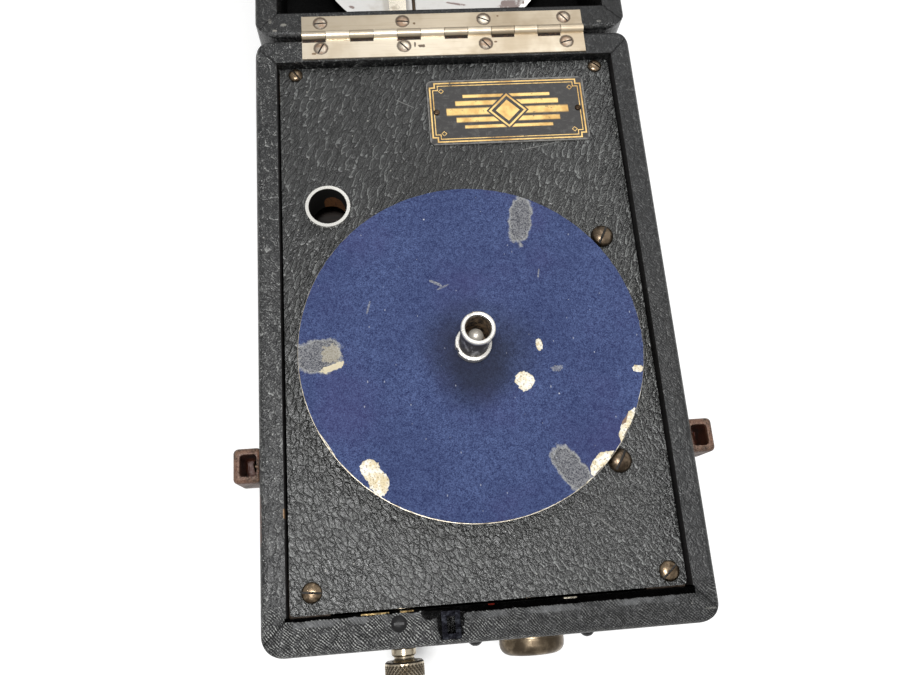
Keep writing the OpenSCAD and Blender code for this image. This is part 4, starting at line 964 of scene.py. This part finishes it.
def makeSocketMaterial(values):
    material, shader, where = newMaterial("socketNickel")
    where = where * 1000
    x, y, z = axesOf(where)
    radius = lengthOf((where - (*values["centre"], 0)) * (1, 1, 0))
    marks = useGroup(tarnish, where, Scale=0.16, Amount=0.5)
    base = mix(marks["Blotch"] * 0.6, rgb(255, 253, 246), rgb(190, 182, 166))
    inside = (radius < values["bore"] + 0.12) * (z < values["top"] - 0.5)
    # the brown patch on the bore's wall is a painted pool of light; the rest of the bore is painted dark
    spot = spotOn(vectorOf(x, z, 0), *values["rustAndLitPatch"], 0, 0.2, 0.5)
    rustyAndLit = spot["Mask"] * (y > values["centre"][1])
    worn = noise(where, 0.9, 4, 0.7)
    boreDarkWithLitPatch = mix(rustyAndLit * ramp(worn, 0.3, 0.5), rgb(12, 10, 8), rgb(128, 84, 48))
    base = mix(inside, base, boreDarkWithLitPatch)
    rough = marks["Blotch"] * 0.12 + 0.18
    coat(shader, base, inside * 0.5 + rough, maths("SUBTRACT", 0.75, inside, clamp=True))
    addBump(shader, marks["Pit"], -0.2, 0.0001)
    return material


dressNodes(makeSocketMaterial(socketValues), socketValues["node"])
print("socket ready")


# nameplate: dark enamel, worn rim, gold double border with stepped corners

plateValues = dict(
    centre=(30.8, -38.7), half=(42.5, 19.25), outer=1.7, inner=3.3, step=2.6, wide=0.42, thin=0.26,
    pinX=(-7.2, 68.8), pinRadius=1.7, pinHeight=0.9)


def makeNameplateMaterial(values):
    tones = dict(
        enamel=rgb(44, 42, 41), haze=rgb(104, 103, 100), gold=rgb(248, 210, 136), goldDark=rgb(206, 164, 98),
        worn=rgb(132, 130, 126))
    material, shader, where = newMaterial("nameplateEnamel")
    centre = (values["centre"][0] / 1000, values["centre"][1] / 1000, 0)
    local = (where - centre) * 1000
    shaky = noise(where, 1500, 2, 0.5, output="Color")
    local = local + (shaky - (0.5, 0.5, 0.5)) * 0.25
    away = axesOf(abs(local))
    halfX, halfY = values["half"]

    def box(x, y):
        return larger(away[0] - x, away[1] - y)

    def stepped(inset, step):
        return smaller(box(halfX - inset, halfY - inset - step), box(halfX - inset - step, halfY - inset))

    def line(distance, width):
        return fade(abs(distance), width * 0.6, width * 1.2)

    def lozenge(offset, size):
        return abs(away[0] - offset[0]) + abs(away[1] - offset[1]) - size

    gold = line(stepped(values["outer"], values["step"]), values["wide"])
    gold = larger(gold, line(stepped(values["inner"], values["step"]), values["thin"]))
    corner = lozenge((halfX - values["inner"] - 4.4, halfY - values["inner"] - 3.2), 1.3)
    gold = larger(gold, line(corner, values["thin"]))
    middle = lozenge((0, 0), 9.5)
    gold = larger(gold, line(middle, 0.8))
    gold = larger(gold, fade(lozenge((0, 0), 6.4), -0.15, 0.15))
    outside = ramp(middle, 1.8, 2.1)
    for height, width in ((0, 2.2), (5, 1.5), (9.2, 1)):
        bar = line(away[1] - height, width)
        bar = bar * fade(away[0], 32.5 - height, 32.9 - height)
        gold = larger(gold, bar * outside)
    rubbedAndSheen = noise(where, 300, 5, 0.7)
    gold = gold * ramp(rubbedAndSheen, 0.28, 0.42)
    tint = mix(ramp(noise(where, 90, 4), 0.4, 0.65), tones["gold"], tones["goldDark"])
    base = mix(ramp(rubbedAndSheen, 0.45, 0.75, 0, 0.6), tones["enamel"], tones["haze"])
    base = mix(gold, base, tint)
    edge = (rubbedAndSheen - 0.5) * 3 + box(halfX, halfY)
    worn = ramp(edge, -1.1, -0.2)
    base = mix(worn * 0.85, base, tones["worn"])
    lines = useGroup(scratches, where, Stretch=(0.1, 1, 1), Scale=1200)
    base = mix(lines["Mask"] * 0.3, base, tones["worn"])
    shiny = larger(gold, worn * 0.7)
    coat(shader, base, ramp(rubbedAndSheen, 0.3, 0.7, 0.28, 0.45), shiny * 0.6)
    height = gold * 0.5 + rubbedAndSheen * 0.3
    addBump(shader, height, 0.4, 0.0002)
    return material


def makePins(values):
    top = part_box("nameplate")[1][2] * 1000
    radius, height = values["pinRadius"], values["pinHeight"]
    profile = [(0.7, -3), (0.7, -0.05), (radius - 0.1, 0), (radius, 0.2)]
    profile += [(radius * math.cos(a), 0.2 + (height - 0.2) * math.sin(a)) for a in (0.35, 0.7, 1, 1.25, 1.45)]
    pins = [turned("nameplate_pin", profile, segments=32)]
    pins.append(copyOf(pins[0]))
    for pin, x in zip(pins, values["pinX"]):
        settle(pin, (x, values["centre"][1], top))
    return smooth(joinAll("nameplate_pins_domed", pins), 40)


dressNodes(makeNameplateMaterial(plateValues), "nameplate")
pinsPiece = makePins(plateValues)
dress(pinsPiece, metals["pinBronze"], "case")
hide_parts("nameplate_pins")
print("nameplate ready")


# speed knob: narrow neck that flares into a head knurled both ways

knobValues = dict(
    x=-40.5, y=-309, z=59, head=9.1, length=7.5, edge=0.7, teeth=30, rows=3, depth=-0.55, stem=2,
    neck=[
        (4.85, -5.4), (5.5, -5.4), (5.7, -5.2), (5.7, -2.8), (5.4, -2.4), (4.7, -2), (4.6, -1.2), (4.9, -0.6),
        (6.2, -0.1), (7.4, 0.2), (7.4, 0.5), (2, 0.5), (2, -2.6), (4.85, -2.6), (4.85, -5.4)],
    cap=[(7.4, -0.4), (7.4, -0.1), (6.6, -0.02), (3.9, -0.02), (3.5, -0.3), (1.2, -0.3)])


def selectFaces(piece, wanted):
    setMode("OBJECT")
    for kind in (piece.data.vertices, piece.data.edges, piece.data.polygons):
        for part in kind:
            part.select = False
    for face in piece.data.polygons:
        face.select = bool(wanted(face))
    setMode("EDIT")
    bpy.ops.mesh.select_mode(type="FACE")


def knurl(head, low, high, depth):
    # each side face becomes two halves of a lozenge, and each lozenge a low pyramid
    pick(head)
    selectFaces(head, lambda f: low < f.center.z < high and abs(f.normal.z) < 0.1)
    setMode("OBJECT")
    ring = {tuple(sorted(e)) for f in head.data.polygons if f.select for e in f.edge_keys}
    setMode("EDIT")
    bpy.ops.mesh.poke(offset=0)
    bpy.ops.mesh.select_all(action="DESELECT")
    bpy.ops.mesh.select_mode(type="EDGE")
    setMode("OBJECT")
    points = head.data.vertices
    for e in head.data.edges:
        heights = [points[v].co.z for v in e.vertices]
        level = abs(heights[0] - heights[1]) < 1e-4
        onRim = level and (heights[0] < low + 0.01 or heights[0] > high - 0.01)
        e.select = tuple(sorted(e.vertices)) in ring and not onRim
    setMode("EDIT")
    bpy.ops.mesh.dissolve_edges(use_verts=False)
    selectFaces(head, lambda f: low < f.center.z < high and abs(f.normal.z) < 0.5 and len(f.vertices) == 4)
    bpy.ops.mesh.poke(offset=depth)
    setMode("OBJECT")


def makeKnob(values):
    rim, length, edge = values["head"], values["length"], values["edge"]
    step = (length - 2 * edge) / values["rows"]
    profile = [(rim - 0.8, 0), (rim, edge)] + [(rim, edge + step * (k + 1)) for k in range(values["rows"])]
    head = turned("speed_knob_head", profile + [(rim - 0.8, length)], segments=values["teeth"])
    knurl(head, edge, length - edge, values["depth"])
    neck = turned("speed_knob_neck", values["neck"], segments=56, hollow=True)
    cap = turned("speed_knob_cap", [(radius, length + rise) for radius, rise in values["cap"]], segments=48)
    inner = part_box("speed_knob")[1][1] * 1000
    stem = turned("speed_knob_stem", [(values["stem"], values["y"] - inner), (values["stem"], 0.3)], segments=24)
    knob = joinAll("speed_knob_knurled", [head, neck, cap, stem])
    settle(knob, (values["x"], values["y"], values["z"]), (90, 0, 0))
    return smooth(knob, 20)


def makeKnobMaterial(values):
    # worn plating, dark down in the knurl and bright on its ribs
    material, shader, where = newMaterial("knobWornPlate")
    centre = (values["x"] / 1000, 0, values["z"] / 1000)
    radius = lengthOf((where - centre) * (1, 0, 1))
    marks = useGroup(tarnish, where, Scale=230, Amount=0.8)
    low = (values["head"] + values["depth"]) / 1000
    valley = fade(radius, low + 0.0001, low + 0.00042) * (radius > 0.008)
    base = mix(marks["Blotch"] * 0.6, rgb(202, 190, 168), rgb(96, 80, 60))
    base = mix(valley * 0.92, base, rgb(40, 30, 22))
    coat(shader, base, marks["Blotch"] * 0.16 + 0.22, 1 - valley * 0.5)
    addBump(shader, marks["Pit"], -0.2, 0.0001)
    return material


knobPiece = makeKnob(knobValues)
dress(knobPiece, makeKnobMaterial(knobValues), "speed_knob")
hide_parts("speed_knob")
print("knob ready")


# record clamp: rounded sleeve on a thin notched flange, dark inside

clampValues = dict(centre=(0, -170.5, 95), sleeve=7.8, bore=5.7, flange=8.65, low=3.75, notches=(21, 201))


def makeClamp(values):
    sleeve, bore, flange, low = (values[k] for k in ("sleeve", "bore", "flange", "low"))
    profile = [(low, 0), (flange - 1, 0), (flange, 1.6), (flange, 4.6), (flange - 0.25, 5),
               (sleeve - 0.75, 5.15), (sleeve - 0.9, 5.6), (sleeve - 0.7, 16), (sleeve, 27.9),
               (sleeve - 0.2, 28.55), (sleeve - 0.65, 28.95), (bore + 0.75, 29), (bore + 0.25, 28.8),
               (bore, 28.2), (bore, 5.6), (low, 5.5), (low, 0)]
    clamp = turned("record_clamp_sleeve", profile, segments=96, hollow=True)
    for angle in values["notches"]:
        turn = math.radians(angle)
        away = flange + 0.7
        cutter = softBox("clampCutter", (3, 2.4, 12), (0, 0, 0), bevel=0.2)
        cutter.rotation_euler = (0, 0, turn)
        cutter.location = (away * math.cos(turn), away * math.sin(turn), 0.9)
        pick(cutter)
        applyPlace()
        cutAway(clamp, cutter)
    return smooth(settle(clamp, values["centre"]), 30)


def makeClampMaterial(values):
    # worn nickel, bright on the top ring, mottled brown down the sleeve, painted shade with brown oil stains in the
    # bore
    tones = dict(nickel=rgb(250, 247, 240), mottle=rgb(44, 34, 27), oilAndShade=rgb(26, 20, 15), bore=rgb(128, 106, 82))
    material, shader, where = newMaterial("clampWornNickel")
    local = where - [v / 1000 for v in values["centre"]]
    x, y, z = axesOf(local)
    radius = lengthOf(local * (1, 1, 0))
    marks = useGroup(tarnish, where * (1, 1, 0.35), Scale=230, Amount=1.15)
    sleeve = ramp(z, 0.0272, 0.0288, 1, 0.12)
    flange = ramp(z, 0.005, 0.0056, 0.5, 1)
    mottled = marks["Blotch"] * (sleeve * flange)
    base = mix(mottled * 0.9, tones["nickel"], tones["mottle"])
    base = mix(marks["Pit"] * sleeve * 0.7, base, tones["oilAndShade"])
    # painted shade down the bore, mottled with brown stains
    inBore = fade(radius, 0.0057, 0.0061) * ramp(z, 0.0284, 0.0268)
    boreShadeAndStain = mix(ramp(noise(where, 420, 4, 0.7), 0.4, 0.62), tones["oilAndShade"], tones["bore"])
    base = mix(inBore, base, boreShadeAndStain)
    solid = 1 - inBore * 0.6
    rough = marks["Blotch"] * 0.2 + (sleeve * 0.14 + 0.14)
    coat(shader, base, inBore * 0.25 + rough, solid - sleeve * 0.3)
    height = marks["Pit"] * -0.5 + noise(where, 500)
    addBump(shader, height, 0.35, 0.00012)
    return material


clampPiece = makeClamp(clampValues)
dress(clampPiece, makeClampMaterial(clampValues), "clamp")
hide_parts("record_clamp")
print("clamp ready")


# hinge leaves: brushed nickel with soft stains, dark rings round the screws and painted shade in the gaps behind
# the knuckles

hingeValues = dict(
    case=dict(
        node="hinge_case_leaf", metal=rgb(232, 220, 199), stain=rgb(184, 164, 133), y=-0.3, gapY=(3.3, 5.1),
        first=0,
        spots=[
            ((-16.2, 0.3), (0.5, 1.6), rgb(52, 34, 24)), ((-12.6, -0.6), (1.9, 0.9), rgb(74, 56, 42)),
            ((-25, 3.4), (0.8, 0.6), rgb(96, 66, 44)), ((27.5, 0.6), (0.8, 0.6), rgb(104, 76, 54)),
            ((-70, -3.6), (1.3, 0.6), rgb(132, 106, 78))]),
    lid=dict(
        node="hinge_lid_leaf", metal=rgb(192, 179, 158), stain=rgb(160, 142, 116), y=15.3, gapY=(9.9, 10.6),
        first=1,
        spots=[((-15.9, 13.6), (0.7, 0.7), rgb(96, 74, 54)), ((30, 17), (0.6, 0.5), rgb(110, 88, 64))]))
hingeShape = dict(left=-76.2, knuckle=12.7, screws=(-66.3, -22.1, 22.1, 66.3), ring=(3.75, 4.15))


def makeHingeMaterial(name, values):
    material, shader, where = newMaterial(name)
    flat = where * 1000 * (1, 1, 0)
    axes = axesOf(flat)
    slow = noise(where, 30, 4, 0.6)
    brushed = noise(where * (0.03, 1, 1), 1500, 2, 0.6)
    grit = noise(where, 900, 4, 0.7)
    base = mix(ramp(slow, 0.42, 0.68, 0, 0.6), values["metal"], values["stain"])
    base = mix(ramp(brushed, 0.5, 0.75, 0, 0.3), base, values["stain"])
    darkRings = None
    for x in hingeShape["screws"]:
        away = (grit - 0.5) * 0.9 + lengthOf(flat - (x, values["y"], 0))
        ring = fade(away, *hingeShape["ring"])
        darkRings = ring if darkRings is None else larger(darkRings, ring)
    base = mix(darkRings * 0.8, base, rgb(66, 48, 34))
    # painted shade in the gaps behind the knuckles, flecked with brown
    step = (axes[0] - hingeShape["left"]) / hingeShape["knuckle"]
    within = (step - float(values["first"])) % 2
    cutOut = abs(within - 0.5) < 0.49
    low, high = values["gapY"]
    middle = abs(axes[1] - (low + high) / 2)
    gap = cutOut * (middle < (high - low) / 2)
    base = mix(gap, base, mix(ramp(grit, 0.55, 0.65), rgb(34, 24, 17), rgb(120, 84, 54)))
    for centre, half, tone in values["spots"]:
        spot = spotOn(flat, centre, half, 0, 1.1, 1.1)
        base = mix(spot["Mask"] * 0.85, base, tone)
    plain = 1 - larger(gap, darkRings * 0.6)
    coat(shader, base, ramp(slow, 0.3, 0.7, 0.34, 0.48) + gap * 0.4, plain * 0.85)
    height = brushed * 0.3 + gap * -1.5
    addBump(shader, height + slow * 0.8, 0.4, 0.0002)
    return material


for side, values in hingeValues.items():
    dressNodes(makeHingeMaterial(side + "HingeNickel", values), values["node"])
print("hinge ready")


# crank drum: soft pan on a plate with two ears, open bore

drumValues = dict(
    place=(19.2, -301.5, 59), radius=15.1, height=7.4, bore=6.5, shaft=4.05, sleeve=7, deep=19.5, plate=1.8,
    soft=4.6, ear=5.5, earX=26.5, earMiddle=19.5)


def makeDrum(values):
    radius, bore, shaft, sleeve = (values[k] for k in ("radius", "bore", "shaft", "sleeve"))
    plate, top, deep = values["plate"], values["plate"] + values["height"], values["deep"]
    soft = values["soft"]
    edge = [(radius - soft * (1 - math.cos(a)), top - soft * (1 - math.sin(a)))
            for a in (0, 0.35, 0.7, 1, 1.3, 1.5708)]
    profile = [(shaft, -deep), (sleeve, -deep), (sleeve, 0), (radius + 1.1, 0), (radius + 1.1, plate - 0.2),
               (radius + 0.9, plate), (radius, plate + 0.05)] + edge
    profile += [(bore + 0.5, top), (bore, top - 0.4), (bore, 0.05), (shaft, 0), (shaft, -deep)]
    parts = [turned("crank_drum", profile, segments=96, hollow=True)]
    ears = [turned("crank_ear", [(values["ear"] - 0.2, 0), (values["ear"], 0.2), (values["ear"], plate - 0.25),
                                 (values["ear"] - 0.3, plate - 0.02)], segments=40)]
    ears.append(copyOf(ears[0]))
    for side, ear in zip((-1, 1), ears):
        ear.location = (side * values["earX"] + values["earMiddle"] - values["place"][0], 0, 0)
        arm = softBox("crank_arm", (values["earX"] - bore - 2, 2 * values["ear"], plate - 0.06),
                      (side * (values["earX"] + bore + 2) / 2, 0, plate / 2 - 0.01), bevel=0.2)
        parts += [ear, arm]
    drum = joinAll("crank_escutcheon_pan", parts)
    return smooth(settle(drum, values["place"], (90, 0, 0)), 32)


drumPiece = makeDrum(drumValues)
dress(drumPiece, metals["drumNickel"], "case")
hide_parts("crank_escutcheon")
print("drum ready")


# slotted screws of the board, the motor and the hinge, one shape made and turned for each place

screwValues = [
    dict(
        node="board_screws", finish="board", slotName="aged_bronze", body="case", z=83.5, shank=1.4,
        heads=[
            ((-80.5, -13), 3.75, 2, -52), ((81.2, -13), 3.75, 2, -38), ((-79.2, -275.6), 4.6, 2.2, -6),
            ((81.5, -278.6), 4.7, 2.2, 40)]),
    dict(
        node="motor_board_screws", finish="motor", slotName="aged_bronze", body="case", z=83.5, shank=2,
        heads=[((72, -113.8), 5.8, 4.2, 62), ((65.5, -227.5), 5.8, 4.2, 58), ((-38, -207.5), 5.8, 4.2, 45)]),
    *(dict(node=f"hinge_{side}_screws", finish="hinge", slotName="hinge_nickel", body=side, z=88.35, shank=1.4,
           heads=[((x, hingeValues[side]["y"]), 3.4, 0.62, turn) for x, turn in zip(hingeShape["screws"], turns)])
      for side, turns in (("case", (62, -48, -52, 14)), ("lid", (3, -4, -24, -50))))]


def slottedHead(name, radius, height, shank, depth, materials):
    profile = [(shank, -depth), (shank, -0.1), (radius - 0.2, 0), (radius, height * 0.12), (radius, height * 0.22)]
    for k in range(1, 8):
        turn = math.radians(90 * k / 8)
        profile.append((radius * math.cos(turn) ** 0.9, height * (0.22 + 0.78 * math.sin(turn))))
    profile.append((0.3, height))
    head = turned(name, profile, segments=56)
    wide = max(0.8, radius * 0.2)
    deep = min(1.5, height * 0.5)
    cutter = softBox("slotCutter", (radius * 2.4, wide, deep * 2), (0, 0, height), bevel=0)
    cutAway(head, cutter)
    for material in materials:
        head.data.materials.append(material)
    for face in head.data.polygons:
        floorOrWall = abs(face.normal.y) > 0.99 or face.normal.z > 0.99
        inSlot = abs(face.center.y) < wide / 2 + 0.01 and face.center.z < height - 0.02
        face.material_index = 1 if floorOrWall and inSlot and face.center.z > 0.2 else 0
    return head


def makeScrews(values, materials):
    # each size of head is made once and copied to its places
    depth = values["z"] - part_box(values["node"])[0][2] * 1000
    shapes, made = {}, []
    for at, radius, height, slot in values["heads"]:
        if (radius, height) not in shapes:
            shapes[radius, height] = slottedHead(values["node"] + "_head", radius, height, values["shank"], depth,
                                                 materials)
        made.append(settle(copyOf(shapes[radius, height]), (*at, values["z"]), (0, 0, slot)))
    for shape in shapes.values():
        bpy.data.objects.remove(shape)
    return smooth(joinAll(values["node"] + "_slotted", made), 30)


def makeScrewMaterial(name, values):
    # tarnished bronze, bright on the crown, black with dirt in the slot and round the foot
    material, shader, where = newMaterial(name)
    axes = axesOf(where)
    marks = useGroup(tarnish, where, Scale=values["scale"], Amount=0.9)
    base = mix(marks["Blotch"] * 0.85, values["metal"], values["tarnish"])
    base = mix(marks["Pit"] * 0.6, base, values["dirt"])
    foot = fade(axes[2], values["foot"], values["foot"] + 0.0006)
    base = mix(foot * 0.85, base, values["dirt"])
    coat(shader, base, marks["Blotch"] * 0.22 + 0.22, 1 - foot * 0.5)
    height = marks["Pit"] * -0.5 + noise(where, 420)
    addBump(shader, height, 0.5, 0.00015)
    return material


screwFinishes = dict(
    board=dict(metal=rgb(140, 122, 100), tarnish=rgb(52, 42, 33), dirt=rgb(22, 18, 14), scale=260, foot=0.0839),
    motor=dict(metal=rgb(126, 110, 92), tarnish=rgb(38, 30, 24), dirt=rgb(18, 14, 11), scale=170, foot=0.0843),
    hinge=dict(
        metal=rgb(240, 228, 208), tarnish=rgb(176, 140, 112), dirt=rgb(58, 40, 28), scale=130, foot=0.0885))
slotDirt = metalFinish("slotDirt", dict(
    metal=rgb(30, 24, 19), tarnish=rgb(14, 11, 9), tarnished=0.9, rough=(0.5, 0.7), metallic=0.2))
screwMaterials = {kind: makeScrewMaterial(kind + "ScrewWorn", values) for kind, values in screwFinishes.items()}
for values in screwValues:
    screws = makeScrews(values, (screwMaterials[values["finish"]], slotDirt))
    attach(screws, values["body"])
    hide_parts(values["node"])
print("screws ready")


# strap loops: thick folded leather, closed below by its own turned-in end

loopValues = dict(centre=(107.6, -217.5), low=57, high=81, size=(13, 16.3), wall=3)


def makeLoops(values):
    width, length = values["size"]
    tall = values["high"] - values["low"]
    middle = (values["low"] + values["high"]) / 2
    loops = []
    for side in (-1, 1):
        loop = softBox("strap_loop_side", (width, length, tall), (0, 0, 0), bevel=2.4, segments=4)
        hole = softBox("loopCutter", (width - 1.7 * values["wall"], length - 2 * values["wall"], tall), (0, 0, 0),
                       bevel=1.6, segments=3)
        pick(hole)
        hole.location = (-side * 0.5, 0, 5.5)
        applyPlace()
        editAll()
        bpy.ops.mesh.subdivide(number_cuts=2)
        bpy.ops.transform.vertex_random(offset=0.25, seed=5 + side)
        setMode("OBJECT")
        cutAway(loop, hole)
        pick(loop)
        applyModifier(loop, "BEVEL", width=0.35, segments=2, angle_limit=math.radians(40), limit_method="ANGLE")
        loops.append(settle(loop, (side * values["centre"][0], values["centre"][1], middle)))
    return smooth(joinAll("strap_loops_leather", loops), 40)


def makeLoopLeather(values):
    # reddish brown leather, cracked across, pale and bare along its edges
    tones = dict(skin=rgb(84, 44, 30), dark=rgb(40, 24, 18), worn=rgb(166, 136, 112), crack=rgb(26, 15, 11))
    material, shader, where = newMaterial("loopLeather")
    patchy = noise(where, 130, 5, 0.65)
    pores = noise(where, 1500, 3, 0.7)
    cracks = cellsOf(where * (1, 0.5, 1.4), 520, feature="DISTANCE_TO_EDGE")["Distance"]
    cracked = fade(cracks, 0, 0.09) * ramp(patchy, 0.4, 0.6)
    base = mix(ramp(patchy, 0.35, 0.65), tones["skin"], tones["dark"])
    x, y, z = axesOf(where)
    fromMiddle = abs(y - values["centre"][1] / 1000)
    rim = ramp((patchy - 0.5) * 0.006 + fromMiddle, 0.0068, 0.0082)
    top = ramp(z, 0.0775, 0.0808)
    bare = larger(rim, top) * ramp(pores, 0.35, 0.6)
    base = mix(bare * 0.45, base, tones["worn"])
    base = mix(cracked * 0.8, base, tones["crack"])
    coat(shader, base, ramp(patchy, 0.3, 0.7, 0.42, 0.6))
    height = cracked * -0.8 + pores * 0.4
    addBump(shader, height + patchy, 0.8, 0.0004)
    return material


loopPiece = makeLoops(loopValues)
dress(loopPiece, makeLoopLeather(loopValues), "case")
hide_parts("strap_loops")
print("loops ready")
